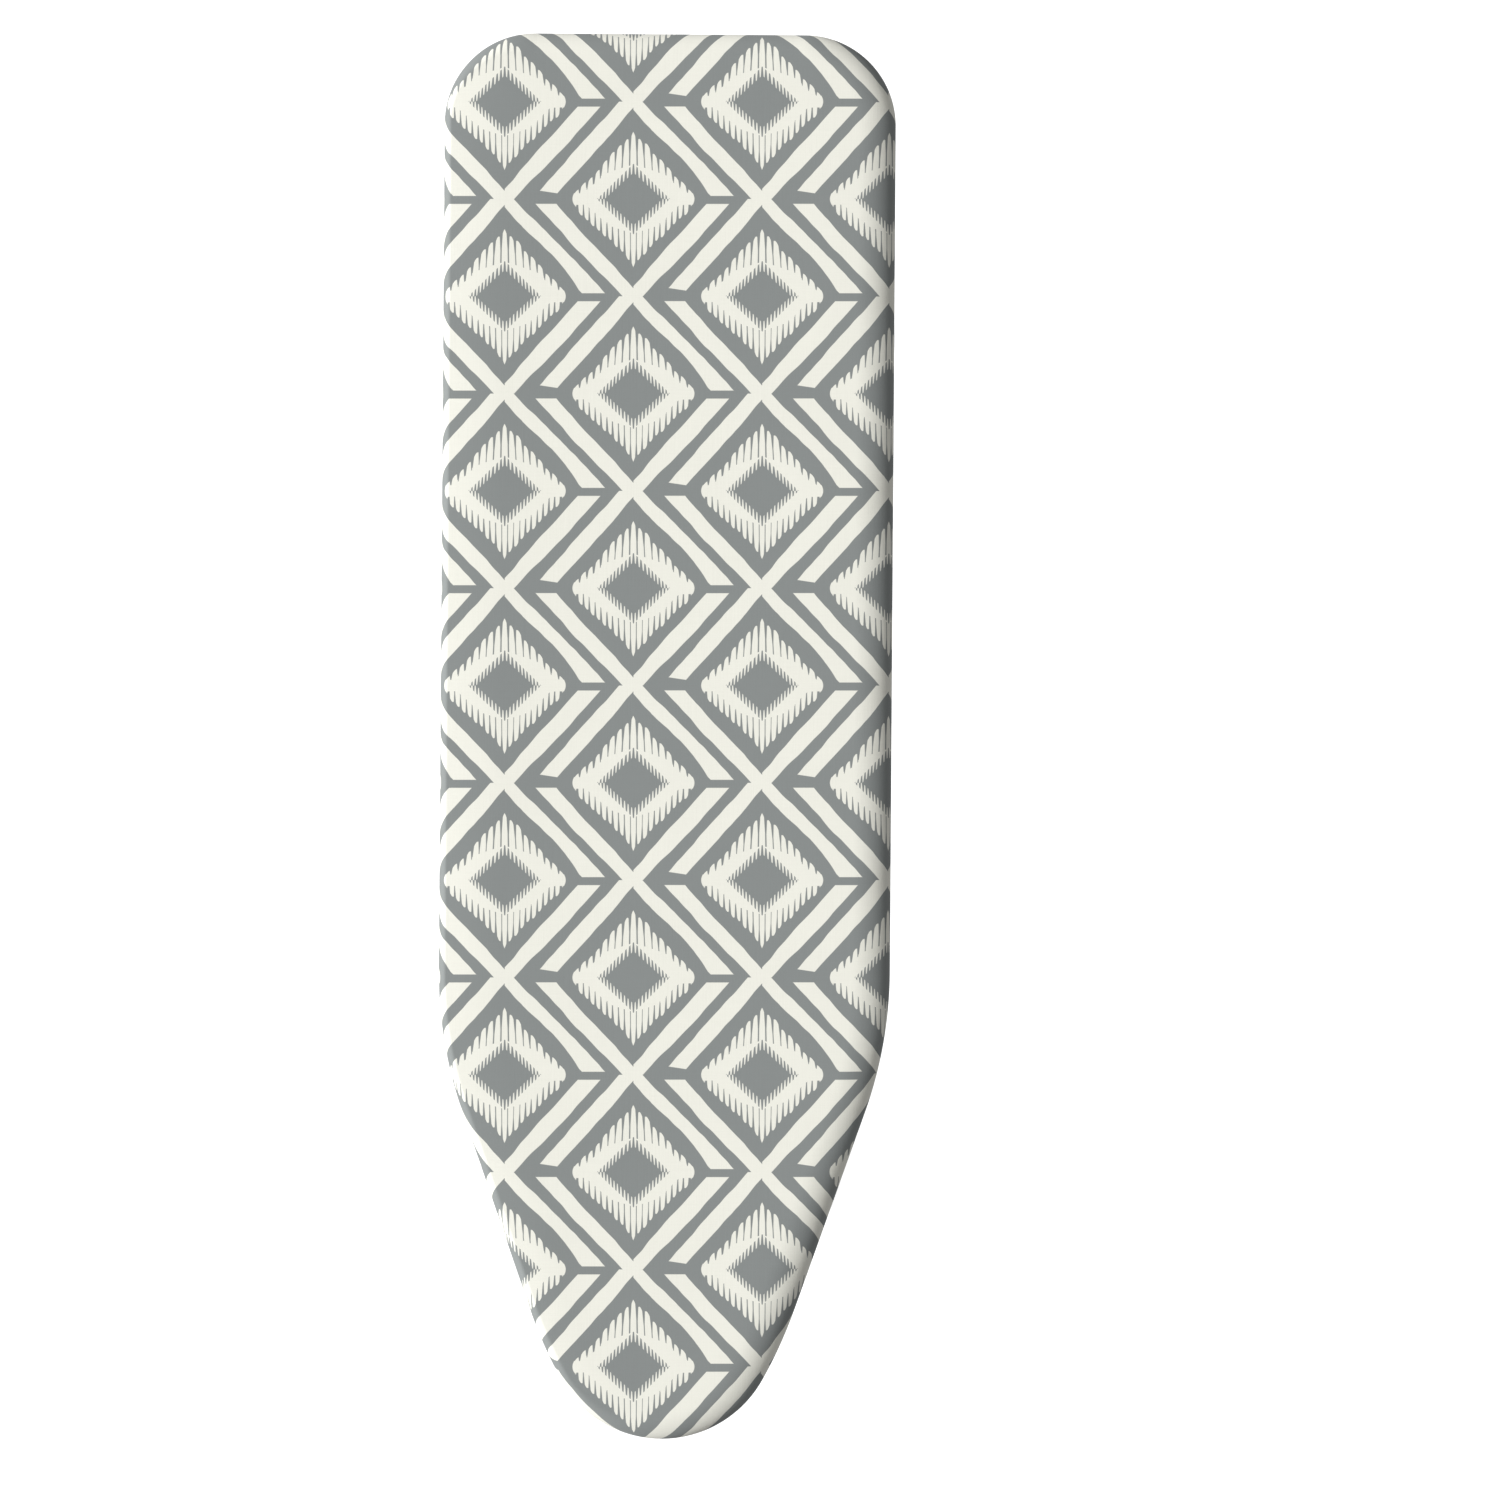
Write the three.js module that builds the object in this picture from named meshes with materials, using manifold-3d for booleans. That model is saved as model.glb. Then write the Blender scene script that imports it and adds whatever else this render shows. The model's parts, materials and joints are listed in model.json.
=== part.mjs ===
// A folding ironing board, standing open at its highest setting.
// Units are millimetres. +X runs to the rounded nose, +Y to the board's own left, +Z is up.
// The origin is on the floor, under the middle of the board.
import * as THREE from "three";
import { mergeVertices } from "three/addons/utils/BufferGeometryUtils.js";
import Module from "manifold-3d";

const wasm = await Module();
wasm.setup();

// ---------------------------------------------------------------- driving dimensions

// Bare board, as its steel rim measures.
const BOARD_LENGTH = 1200;
const BOARD_WIDTH = 380;
const NOSE_RADIUS = 95;
const NOSE_NORMAL = degrees(61); // where the nose arc ends
const CHEEK_RADIUS = 389;
const TAPER_NORMAL = degrees(70.7); // the straight taper faces this way
const SHOULDER_RADIUS = 360;
const CORNER_RADIUS = 74;

// Heights of the layers, from the ironing surface down.
const TOP_HEIGHT = 880;
const GAP = 0.3; // left between pieces that touch
const COVER_THICKNESS = 1;
const PAD_THICKNESS = 6;
const DECK_THICKNESS = 0.6;
const RIM_DEPTH = 14;
const RIM_WALL = 1;

// Cover: how far its side stands out of the bare rim, and how it rolls over the edge.
const COVER_OUT = 3;
const ROLL_IN = 20;
const ROLL_DOWN = 14;
const UNDER_ROLL_IN = 11;
const HEM_WIDTH = 36;
const ELASTIC_DIAMETER = 4;

// Scissor legs. Both legs have the same upper length, so the board stays level as they fold.
const HINGE_X = 300;
const HINGE_HEIGHT = 838;
const UPPER_LENGTH = 420;
const LOWER_LENGTH = 670;
const LEG_LENGTH = UPPER_LENGTH + LOWER_LENGTH;
const FOOT_HEIGHT = 15; // centre of the foot bars above the floor
const OUTER_LEG_Y = 108;
const INNER_LEG_Y = 78;
const LEG_RADIUS = 11;
const TUBE_WALL = 1.2;
const TUBE_END = 12; // tube left beyond the top pivots
const OUTER_FOOT_HALF = 178;
const INNER_FOOT_HALF = 140;
const BRACE_RADIUS = 8;
const BRACE_AT = 940; // along the leg from its top pivot
const FOOT_CAP_LENGTH = 46;
const FOOT_CAP_RADIUS = 14.2;
const PIN_RADIUS = 4;

// Rails under the deck, which guide the inner leg's catch rod.
const RAIL_Y = 30;
const RAIL_SHEET = 2;
const RAIL_REAR_X = -559;
const RAIL_FRONT_X = 280;
const RAIL_DEEP_Z = 824;
const RAIL_SHALLOW_Z = 850;
const RAIL_FLANGE = 15;
const CATCH_ROD_RADIUS = 5;
const GLIDE_RADIUS = 6.8;
const SLOT_CLEARANCE = 0.6;
const CHANNEL_X = [-500, 20, HINGE_X];
const CHANNEL_NAMES = ["rear_cross_channel", "middle_cross_channel", "front_cross_channel"];
const CHANNEL_HALF_WIDTH = 18;
const CHANNEL_HALF_SPAN = [146, 146, 126];
const CHANNEL_DEPTH = 8;
const CHANNEL_SHEET = 1.5;

// Height release lever: a bent rod that turns about a line along the board.
const LEVER_Y = 38;
const LEVER_Z = 849;
const LEVER_RADIUS = 3;
const LEVER_FRONT_X = -214;
const LEVER_REAR_X = -585;
const LEVER_DROP = degrees(16);
const GRIP_Y = 150;
const GRIP_FRONT_X = -476;
const GRIP_RADIUS = 8;
const RACK_Y = 62;
const RACK_PITCH = 29;
const RACK_NOTCHES = 7;
const RACK_SHEET = 2;
const RACK_TIP_CLEARANCE = 0.6;
const NOTCH_DEPTH = 4.6;

const ROUND = 32; // sides of a leg tube
const COARSE = 16; // sides of a small rod

// Colours and finishes.
const FINISH = {
  cover: material(0x8b9190, 0.9, 0),
  pad: material(0xd9d4c8, 0.95, 0),
  elastic: material(0xe9e6da, 0.8, 0),
  frame: material(0xb9bcbd, 0.42, 0.6),
  zinc: material(0xc2c5c8, 0.35, 1),
  plastic: material(0x3a3d3f, 0.55, 0),
  nylon: material(0xe4e2da, 0.5, 0),
  spring: material(0x8f9194, 0.35, 1),
};

function degrees(angle) {
  return (angle * Math.PI) / 180;
}

function material(color, roughness, metalness) {
  return new THREE.MeshStandardMaterial({ color, roughness, metalness });
}

// ---------------------------------------------------------------- solids and booleans

const board = new THREE.Group();

function piece(name, geometry, finish, parent = board) {
  const mesh = new THREE.Mesh(geometry, finish.clone());
  mesh.name = name;
  parent.add(mesh);
  return mesh;
}

function closed(geometry) {
  const bare = geometry.index ? geometry.toNonIndexed() : geometry.clone();
  bare.deleteAttribute("normal");
  bare.deleteAttribute("uv");
  return mergeVertices(bare, 1e-4);
}

function solid(geometry) {
  const merged = closed(geometry);
  const mesh = new wasm.Mesh({
    numProp: 3,
    vertProperties: merged.attributes.position.array,
    triVerts: new Uint32Array(merged.index.array),
  });
  return new wasm.Manifold(mesh);
}

function geometryOf(manifold) {
  const mesh = manifold.getMesh();
  const geometry = new THREE.BufferGeometry();
  geometry.setAttribute("position", new THREE.BufferAttribute(mesh.vertProperties.slice(), 3));
  geometry.setIndex(new THREE.BufferAttribute(mesh.triVerts.slice(), 1));
  return geometry;
}

function cut(geometry, ...tools) {
  const left = tools.reduce((rest, tool) => rest.subtract(solid(tool)), solid(geometry));
  return geometryOf(left);
}

function join(...geometries) {
  const [first, ...others] = geometries.map(solid);
  return geometryOf(others.reduce((all, next) => all.add(next), first));
}

// A closed profile of [radius, along] pairs turned about the Y axis; it is put the right way round.
function turned(profile, sides = ROUND) {
  const loop = profile.map(([radius, along]) => new THREE.Vector2(radius, along));
  const facesOut = THREE.ShapeUtils.area(loop) > 0;
  const points = facesOut ? loop : loop.reverse();
  return new THREE.LatheGeometry([...points, points[0]], sides);
}

// A bar or tube along Y from y0 to y1; a hollow one is open at both ends.
function barY(radius, y0, y1, wall = 0, sides = COARSE) {
  const inner = wall ? radius - wall : 0;
  return turned([[inner, y0], [radius, y0], [radius, y1], [inner, y1]], sides);
}

function alongX(geometry) {
  return geometry.rotateZ(-Math.PI / 2);
}

function box(x0, x1, y0, y1, z0, z1) {
  const size = new THREE.BoxGeometry(x1 - x0, y1 - y0, z1 - z0);
  return size.translate((x0 + x1) / 2, (y0 + y1) / 2, (z0 + z1) / 2);
}

// A shape drawn in the XZ plane, given its thickness along Y from y0 to y1.
function plateXZ(shape, y0, y1, curveSegments = 8) {
  const plate = new THREE.ExtrudeGeometry(shape, { depth: y1 - y0, bevelEnabled: false, curveSegments });
  return plate.rotateX(Math.PI / 2).translate(0, y1, 0);
}

function shapeOf(points) {
  return new THREE.Shape(points.map(([x, y]) => new THREE.Vector2(x, y)));
}

// A path through given points, each with its own direction, for a section to be carried along.
class PointPath extends THREE.Curve {
  constructor(points) {
    super();
    this.points = points;
  }

  getPointAt(u) {
    return this.points[Math.round(u * (this.points.length - 1))].clone();
  }

  getTangentAt(u) {
    const last = this.points.length - 1;
    const i = Math.round(u * last);
    const ahead = this.points[Math.min(i + 1, last)];
    const behind = this.points[Math.max(i - 1, 0)];
    return ahead.clone().sub(behind).normalize();
  }
}

function wire(points, radius, sides) {
  const section = shapeOf(Array.from({ length: sides }, (_, i) => {
    const turn = (2 * Math.PI * i) / sides;
    return [radius * Math.cos(turn), radius * Math.sin(turn)];
  }));
  const options = { steps: points.length - 1, extrudePath: new PointPath(points), bevelEnabled: false };
  return new THREE.ExtrudeGeometry(section, options);
}

// Corner points joined by straights, with each inner corner rounded off.
function rounded(corners, bend, steps) {
  const inner = corners.slice(1, -1).flatMap((corner, i) => {
    const before = corner.clone().add(corners[i].clone().sub(corner).setLength(bend));
    const after = corner.clone().add(corners[i + 2].clone().sub(corner).setLength(bend));
    return new THREE.QuadraticBezierCurve3(before, corner, after).getPoints(steps);
  });
  return [corners[0], ...inner, corners.at(-1)];
}

// ---------------------------------------------------------------- board outline

// Points round the bare rim, each with the direction it faces. An offset outline moves every point
// along that direction, which keeps arcs arcs and straight sides straight.
function boardOutline() {
  const half = BOARD_LENGTH / 2;
  const side = BOARD_WIDTH / 2;
  const samples = [];
  const arc = (cx, cy, radius, from, to, steps) => {
    for (let i = 0; i <= steps; i++) {
      const facing = from + ((to - from) * i) / steps;
      samples.push({ x: cx + radius * Math.cos(facing), y: cy + radius * Math.sin(facing), facing });
    }
  };
  arc(half - NOSE_RADIUS, 0, NOSE_RADIUS, 0, NOSE_NORMAL, 7);
  const noseEnd = samples.pop();
  const cheekX = noseEnd.x - CHEEK_RADIUS * Math.cos(NOSE_NORMAL);
  const cheekY = noseEnd.y - CHEEK_RADIUS * Math.sin(NOSE_NORMAL);
  arc(cheekX, cheekY, CHEEK_RADIUS, NOSE_NORMAL, TAPER_NORMAL, 2);
  const taperStart = samples.at(-1);
  const shoulderCentreY = side - SHOULDER_RADIUS;
  const taperEndY = shoulderCentreY + SHOULDER_RADIUS * Math.sin(TAPER_NORMAL);
  const taperEndX = taperStart.x - (taperEndY - taperStart.y) * Math.tan(TAPER_NORMAL);
  const shoulderCentreX = taperEndX - SHOULDER_RADIUS * Math.cos(TAPER_NORMAL);
  arc(shoulderCentreX, shoulderCentreY, SHOULDER_RADIUS, TAPER_NORMAL, Math.PI / 2, 3);
  arc(CORNER_RADIUS - half, side - CORNER_RADIUS, CORNER_RADIUS, Math.PI / 2, Math.PI, 6);
  const left = samples.slice(1);
  const right = left.map(({ x, y, facing }) => ({ x, y: -y, facing: -facing })).reverse();
  return [samples[0], ...left, ...right];
}

const OUTLINE = boardOutline();

function outlineOffset(offset) {
  return OUTLINE.map(({ x, y, facing }) => [x + offset * Math.cos(facing), y + offset * Math.sin(facing)]);
}

function outlineShape(offset) {
  return shapeOf(outlineOffset(offset));
}

// A closed profile of [offset, height] pairs carried right round the outline: a ring-shaped solid.
function aroundOutline(profile) {
  const area = THREE.ShapeUtils.area(profile.map(([u, z]) => new THREE.Vector2(u, z)));
  const loop = area > 0 ? profile : [...profile].reverse();
  const rings = loop.map(([u, z]) => outlineOffset(u).map(([x, y]) => [x, y, z]));
  const around = OUTLINE.length;
  const index = [];
  for (let j = 0; j < loop.length; j++) {
    const next = (j + 1) % loop.length;
    for (let i = 0; i < around; i++) {
      const turn = (i + 1) % around;
      const [a, b] = [j * around + i, j * around + turn];
      const [c, d] = [next * around + turn, next * around + i];
      index.push(a, b, c, a, c, d);
    }
  }
  return indexed(rings.flat(2), index);
}

// Rings from the outer face's middle, over the edge, to the inner face's middle, with both middles filled.
function shellOverOutline(profile) {
  const rings = profile.map(([u, z]) => outlineOffset(u).map(([x, y]) => [x, y, z]));
  const around = OUTLINE.length;
  const index = [];
  for (let j = 0; j + 1 < profile.length; j++) {
    for (let i = 0; i < around; i++) {
      const turn = (i + 1) % around;
      const [a, b] = [j * around + i, j * around + turn];
      const [c, d] = [(j + 1) * around + turn, (j + 1) * around + i];
      index.push(a, d, c, a, c, b);
    }
  }
  const last = (profile.length - 1) * around;
  const topCap = THREE.ShapeUtils.triangulateShape(outlineOffset(profile[0][0]).map(toVector2), []);
  const endCap = THREE.ShapeUtils.triangulateShape(outlineOffset(profile.at(-1)[0]).map(toVector2), []);
  topCap.forEach(([a, b, c]) => index.push(a, b, c));
  endCap.forEach(([a, b, c]) => index.push(last + a, last + c, last + b));
  return indexed(rings.flat(2), index);
}

function toVector2([x, y]) {
  return new THREE.Vector2(x, y);
}

function indexed(positions, index) {
  const geometry = new THREE.BufferGeometry();
  geometry.setAttribute("position", new THREE.Float32BufferAttribute(positions, 3));
  geometry.setIndex(index);
  return geometry;
}

// A quarter of an ellipse as [offset, height] points, from angle a0 to a1 in quarter turns.
function ellipseArc(cu, cz, ru, rz, a0, a1, steps) {
  return Array.from({ length: steps + 1 }, (_, i) => {
    const angle = ((a0 + ((a1 - a0) * i) / steps) * Math.PI) / 2;
    return [cu + ru * Math.cos(angle), cz + rz * Math.sin(angle)];
  });
}

// ---------------------------------------------------------------- the covered top

const padTop = TOP_HEIGHT - COVER_THICKNESS - GAP;
const padBottom = padTop - PAD_THICKNESS;
const deckTop = padBottom - GAP;
const deckBottom = deckTop - DECK_THICKNESS;
const rimTop = deckBottom - GAP;
const rimBottom = rimTop - RIM_DEPTH;
const rollHeight = TOP_HEIGHT - ROLL_DOWN;
const coverBottom = rimBottom - 2 * COVER_THICKNESS;

// Printed cotton cover: over the top, round the edge and back under as a hem.
function coverShell() {
  const t = COVER_THICKNESS;
  const underDown = rollHeight - coverBottom;
  const hemEdge = COVER_OUT - HEM_WIDTH;
  const rollCentre = COVER_OUT - ROLL_IN;
  const underCentre = COVER_OUT - UNDER_ROLL_IN;
  const outside = [
    ...ellipseArc(rollCentre, rollHeight, ROLL_IN, ROLL_DOWN, 1, 0, 5),
    ...ellipseArc(underCentre, rollHeight, UNDER_ROLL_IN, underDown, 0, -1, 3).slice(1),
    [hemEdge, coverBottom],
  ];
  const inside = [
    [hemEdge, coverBottom + t],
    ...ellipseArc(underCentre, rollHeight, UNDER_ROLL_IN - t, underDown - t, -1, 0, 3),
    ...ellipseArc(rollCentre, rollHeight, ROLL_IN - t, ROLL_DOWN - t, 0, 1, 5).slice(1),
  ];
  return shellOverOutline([...outside, ...inside]);
}

// Felt and foam pad: a flat slab, its top edge rounded off to sit under the cover's roll.
function padSlab() {
  const roll = ellipseArc(
    COVER_OUT - ROLL_IN, rollHeight,
    ROLL_IN - COVER_THICKNESS - GAP, ROLL_DOWN - COVER_THICKNESS - GAP,
    1, 0.42, 3,
  );
  return shellOverOutline([...roll, [roll.at(-1)[0], padBottom]]);
}

// Pressed steel deck with diamond vents.
function deckSheet() {
  const shape = outlineShape(-1.5);
  const [pitchX, pitchY] = [110, 58];
  const [ventX, ventY] = [34, 15];
  const margin = outlineOffset(-34).map(toVector2);
  const inside = (x, y) => margin.reduce((odd, p, i) => {
    const q = margin[(i + 1) % margin.length];
    const crosses = p.y > y !== q.y > y && x < ((q.x - p.x) * (y - p.y)) / (q.y - p.y) + p.x;
    return crosses ? !odd : odd;
  }, false);
  for (let row = -2; row <= 2; row++) {
    for (let column = -5; column <= 5; column++) {
      const x = pitchX * (column + (row % 2 ? 0.5 : 0)) - 25;
      const y = pitchY * row;
      const corners = [[x - ventX, y], [x, y + ventY], [x + ventX, y], [x, y - ventY]];
      if (corners.every(([cx, cy]) => inside(cx, cy))) shape.holes.push(shapeOf(corners));
    }
  }
  const sheet = new THREE.ExtrudeGeometry(shape, { depth: DECK_THICKNESS, bevelEnabled: false });
  return sheet.translate(0, 0, deckBottom);
}

// Rolled steel rim: a C section, open towards the middle of the board.
function rimSection() {
  const radius = RIM_DEPTH / 2;
  const centre = rimTop - radius;
  const flange = -RIM_DEPTH - 4;
  return [
    [flange, rimTop],
    ...ellipseArc(-radius, centre, radius, radius, 1, -1, 6),
    [flange, rimBottom],
    [flange, rimBottom + RIM_WALL],
    ...ellipseArc(-radius, centre, radius - RIM_WALL, radius - RIM_WALL, -1, 1, 4),
    [flange, rimTop - RIM_WALL],
  ];
}

function roundSection(cu, cz, radius, sides) {
  return ellipseArc(cu, cz, radius, radius, 0, 4, sides).slice(0, -1);
}

piece("cover", coverShell(), FINISH.cover);
piece("pad", padSlab(), FINISH.pad);
piece("deck_sheet", deckSheet(), FINISH.frame);
piece("rim", aroundOutline(rimSection()), FINISH.frame);
const elasticAt = COVER_OUT - HEM_WIDTH - GAP - ELASTIC_DIAMETER / 2;
const elasticSection = roundSection(elasticAt, coverBottom + 0.5, ELASTIC_DIAMETER / 2, 6);
piece("hem_elastic", aroundOutline(elasticSection), FINISH.elastic);

// ---------------------------------------------------------------- frame under the deck

// Cross channel: a pressed U, open upwards, spot-welded under the deck.
function crossChannel(x, halfSpan) {
  const top = rimTop;
  const bottom = top - CHANNEL_DEPTH;
  const outer = box(x - CHANNEL_HALF_WIDTH, x + CHANNEL_HALF_WIDTH, -halfSpan, halfSpan, bottom, top);
  const wall = CHANNEL_SHEET;
  const trough = box(
    x - CHANNEL_HALF_WIDTH + wall, x + CHANNEL_HALF_WIDTH - wall,
    -halfSpan - 1, halfSpan + 1, bottom + wall, top + 1,
  );
  return cut(outer, trough);
}

const channelBottom = rimTop - CHANNEL_DEPTH;
const railTop = channelBottom - GAP;
CHANNEL_X.forEach((x, i) => piece(CHANNEL_NAMES[i], crossChannel(x, CHANNEL_HALF_SPAN[i]), FINISH.frame));

// Where the inner leg's catch rod stands with the legs at an angle to the floor.
const legAngle = Math.asin((HINGE_HEIGHT - FOOT_HEIGHT) / LEG_LENGTH);
const FOLDED_ANGLE = degrees(2);
const catchRodX = (angle) => HINGE_X - 2 * UPPER_LENGTH * Math.cos(angle);

// Slide rail: an angle section, deep where the slot guides the catch rod and shallow ahead of it.
function slideRail(side) {
  const outline = shapeOf([
    [RAIL_REAR_X, railTop], [RAIL_REAR_X, RAIL_DEEP_Z + 6], [RAIL_REAR_X + 6, RAIL_DEEP_Z],
    [-232, RAIL_DEEP_Z], [-196, RAIL_SHALLOW_Z], [RAIL_FRONT_X, RAIL_SHALLOW_Z], [RAIL_FRONT_X, railTop],
  ]);
  const slotRadius = GLIDE_RADIUS + SLOT_CLEARANCE;
  const [rear, front] = [catchRodX(FOLDED_ANGLE), catchRodX(legAngle)];
  const slot = new THREE.Path();
  slot.absarc(rear - 1, HINGE_HEIGHT, slotRadius, 1.5 * Math.PI, 0.5 * Math.PI, true);
  slot.absarc(front + 1, HINGE_HEIGHT, slotRadius, 0.5 * Math.PI, -0.5 * Math.PI, true);
  slot.closePath();
  outline.holes.push(slot);
  const half = RAIL_SHEET / 2;
  const web = plateXZ(outline, side * RAIL_Y - half, side * RAIL_Y + half);
  const inner = side * (RAIL_Y - half - RAIL_FLANGE);
  const edge = side * RAIL_Y;
  const flange = box(
    RAIL_REAR_X, RAIL_FRONT_X,
    Math.min(inner, edge), Math.max(inner, edge), railTop - RAIL_SHEET, railTop,
  );
  return join(web, flange);
}

piece("slide_rail_left", slideRail(1), FINISH.frame);
piece("slide_rail_right", slideRail(-1), FINISH.frame);

// Hinge bracket: a U of sheet steel that holds the top of an outer leg tube between two ears.
const EAR_SHEET = 2;
const EAR_CLEARANCE = 0.5;
const earInner = OUTER_LEG_Y - LEG_RADIUS - EAR_CLEARANCE - EAR_SHEET;
const earOuter = OUTER_LEG_Y + LEG_RADIUS + EAR_CLEARANCE + EAR_SHEET;

function hingeBracket(side) {
  const width = 15;
  const ear = shapeOf([[HINGE_X - width, railTop], [HINGE_X - width, HINGE_HEIGHT + 6]]);
  ear.absarc(HINGE_X, HINGE_HEIGHT, 12, Math.PI, 2 * Math.PI, false);
  ear.lineTo(HINGE_X + width, HINGE_HEIGHT + 6);
  ear.lineTo(HINGE_X + width, railTop);
  const plate = (y) => plateXZ(ear, y, y + EAR_SHEET);
  const ears = [plate(earInner), plate(earOuter - EAR_SHEET)];
  const web = box(HINGE_X - width, HINGE_X + width, earInner, earOuter, railTop - EAR_SHEET, railTop);
  const bore = barY(PIN_RADIUS + GAP, 80, 140).translate(HINGE_X, 0, HINGE_HEIGHT);
  const whole = cut(join(web, ...ears), bore);
  return side > 0 ? whole : mirroredY(whole);
}

// The same solid on the other side of the board, with its faces turned back outwards.
function mirroredY(geometry) {
  const copy = geometry.index ? geometry.toNonIndexed() : geometry.clone();
  const place = copy.attributes.position;
  const flipped = new Float32Array(place.array.length);
  for (let i = 0; i < place.count; i += 3) {
    [i, i + 2, i + 1].forEach((from, k) => {
      flipped.set([place.getX(from), -place.getY(from), place.getZ(from)], 3 * (i + k));
    });
  }
  const mirror = new THREE.BufferGeometry();
  mirror.setAttribute("position", new THREE.BufferAttribute(flipped, 3));
  return mirror;
}

// Hinge pin: a shouldered rivet through both ears and the leg tube.
function hingePin(side) {
  const [a, b] = [earInner - GAP, earOuter + GAP];
  const rivet = turned([
    [0, a - 1.6], [5, a - 1.6], [6.5, a], [PIN_RADIUS, a],
    [PIN_RADIUS, b], [7, b], [6.2, b + 2.4], [3.5, b + 3.6], [0, b + 3.6],
  ], COARSE);
  rivet.translate(HINGE_X, 0, HINGE_HEIGHT);
  return side > 0 ? rivet : mirroredY(rivet);
}

piece("hinge_bracket_left", hingeBracket(1), FINISH.zinc);
piece("hinge_bracket_right", hingeBracket(-1), FINISH.zinc);
piece("hinge_pin_left", hingePin(1), FINISH.zinc);
piece("hinge_pin_right", hingePin(-1), FINISH.zinc);

// Lever bearing: a small plate across the rail with a hole for the lever's shaft, bent to a fixing tab.
const railFace = RAIL_Y + RAIL_SHEET / 2 + GAP;

function leverBearing(x) {
  const plate = new THREE.Shape();
  const bottom = HINGE_HEIGHT + CATCH_ROD_RADIUS + 1.2;
  plate.moveTo(railFace, LEVER_Z - 2);
  plate.lineTo(railFace + 1.6, bottom);
  plate.absarc(LEVER_Y, LEVER_Z, 6, Math.asin((bottom - LEVER_Z) / 6), degrees(90), false);
  plate.lineTo(railFace, LEVER_Z + 10);
  plate.closePath();
  const ear = new THREE.ExtrudeGeometry(plate, { depth: 1.6, bevelEnabled: false, curveSegments: 10 });
  ear.applyMatrix4(new THREE.Matrix4().makeBasis(
    new THREE.Vector3(0, 1, 0), new THREE.Vector3(0, 0, 1), new THREE.Vector3(1, 0, 0),
  ));
  const tab = box(0, 16, railFace, railFace + 1.6, LEVER_Z - 1.5, LEVER_Z + 10);
  const bore = alongX(barY(LEVER_RADIUS + GAP, -5, 5)).translate(0, LEVER_Y, LEVER_Z);
  return cut(join(ear, tab), bore).translate(x, 0, 0);
}

piece("lever_bearing_front", leverBearing(-230), FINISH.zinc);
piece("lever_bearing_rear", leverBearing(-524), FINISH.zinc);

// ---------------------------------------------------------------- scissor legs

// Each leg is drawn lying along X from its top pivot at the group's origin, then turned to its slope.
const outerLeg = new THREE.Group();
outerLeg.position.set(HINGE_X, 0, HINGE_HEIGHT);
outerLeg.rotation.y = -legAngle;
const innerLeg = new THREE.Group();
innerLeg.position.set(catchRodX(legAngle), 0, HINGE_HEIGHT);
innerLeg.rotation.y = legAngle;
board.add(outerLeg, innerLeg);

// A leg tube, open at its top end and saddle-cut where it meets the foot bar.
function legTube(direction, y, topHoleRadius) {
  const tube = alongX(barY(LEG_RADIUS, -TUBE_END, LEG_LENGTH, TUBE_WALL, ROUND));
  const saddle = barY(LEG_RADIUS + GAP, y - 40, y + 40, 0, ROUND).translate(LEG_LENGTH, -y, 0);
  const crossBolt = barY(PIN_RADIUS + GAP, -20, 20).translate(UPPER_LENGTH, 0, 0);
  const topHole = barY(topHoleRadius, -20, 20);
  const made = cut(tube, saddle, crossBolt, topHole);
  if (direction < 0) made.rotateZ(Math.PI);
  return made.translate(0, y, 0);
}

// A cross tube between two leg tubes, with its ends cut to sit on them.
function brace(direction, legY) {
  const tube = barY(BRACE_RADIUS, -legY, legY, TUBE_WALL, ROUND).translate(BRACE_AT, 0, 0);
  const saddles = [-legY, legY].map((y) => {
    return alongX(barY(LEG_RADIUS + GAP, BRACE_AT - 30, BRACE_AT + 30, 0, ROUND)).translate(0, y, 0);
  });
  return cut(tube, ...saddles).scale(direction, 1, direction);
}

function footBar(direction, half) {
  return barY(LEG_RADIUS, -half, half, TUBE_WALL, ROUND).translate(direction * LEG_LENGTH, 0, 0);
}

// Foot cap: a blind sleeve over the end of a foot bar, with a flat sole.
function footCap(half, side) {
  const soleHalf = 9.5;
  const section = new THREE.Shape();
  const soleAngle = Math.asin(-(FOOT_HEIGHT - 0.8) / (FOOT_CAP_RADIUS + 0.4));
  section.moveTo(-soleHalf, -FOOT_HEIGHT);
  section.lineTo(soleHalf, -FOOT_HEIGHT);
  section.absarc(0, 0, FOOT_CAP_RADIUS, soleAngle + 0.75, Math.PI - soleAngle - 0.75, false);
  section.closePath();
  const bevel = { bevelThickness: 2, bevelSize: 1.5, bevelOffset: -1.5, bevelSegments: 1 };
  const block = new THREE.ExtrudeGeometry(section, {
    depth: FOOT_CAP_LENGTH - 4, curveSegments: 8, bevelEnabled: true, ...bevel,
  });
  block.rotateX(Math.PI / 2).translate(0, half + 5 - 2, 0);
  const socket = barY(LEG_RADIUS + GAP, half - FOOT_CAP_LENGTH - 10, half + GAP, 0, ROUND);
  const cap = cut(block, socket);
  return side > 0 ? cap : mirroredY(cap);
}

const LEGS = {
  outer: { group: outerLeg, direction: -1, y: OUTER_LEG_Y, footHalf: OUTER_FOOT_HALF, topHole: PIN_RADIUS + GAP },
  inner: { group: innerLeg, direction: 1, y: INNER_LEG_Y, footHalf: INNER_FOOT_HALF, topHole: CATCH_ROD_RADIUS + GAP },
};

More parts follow.
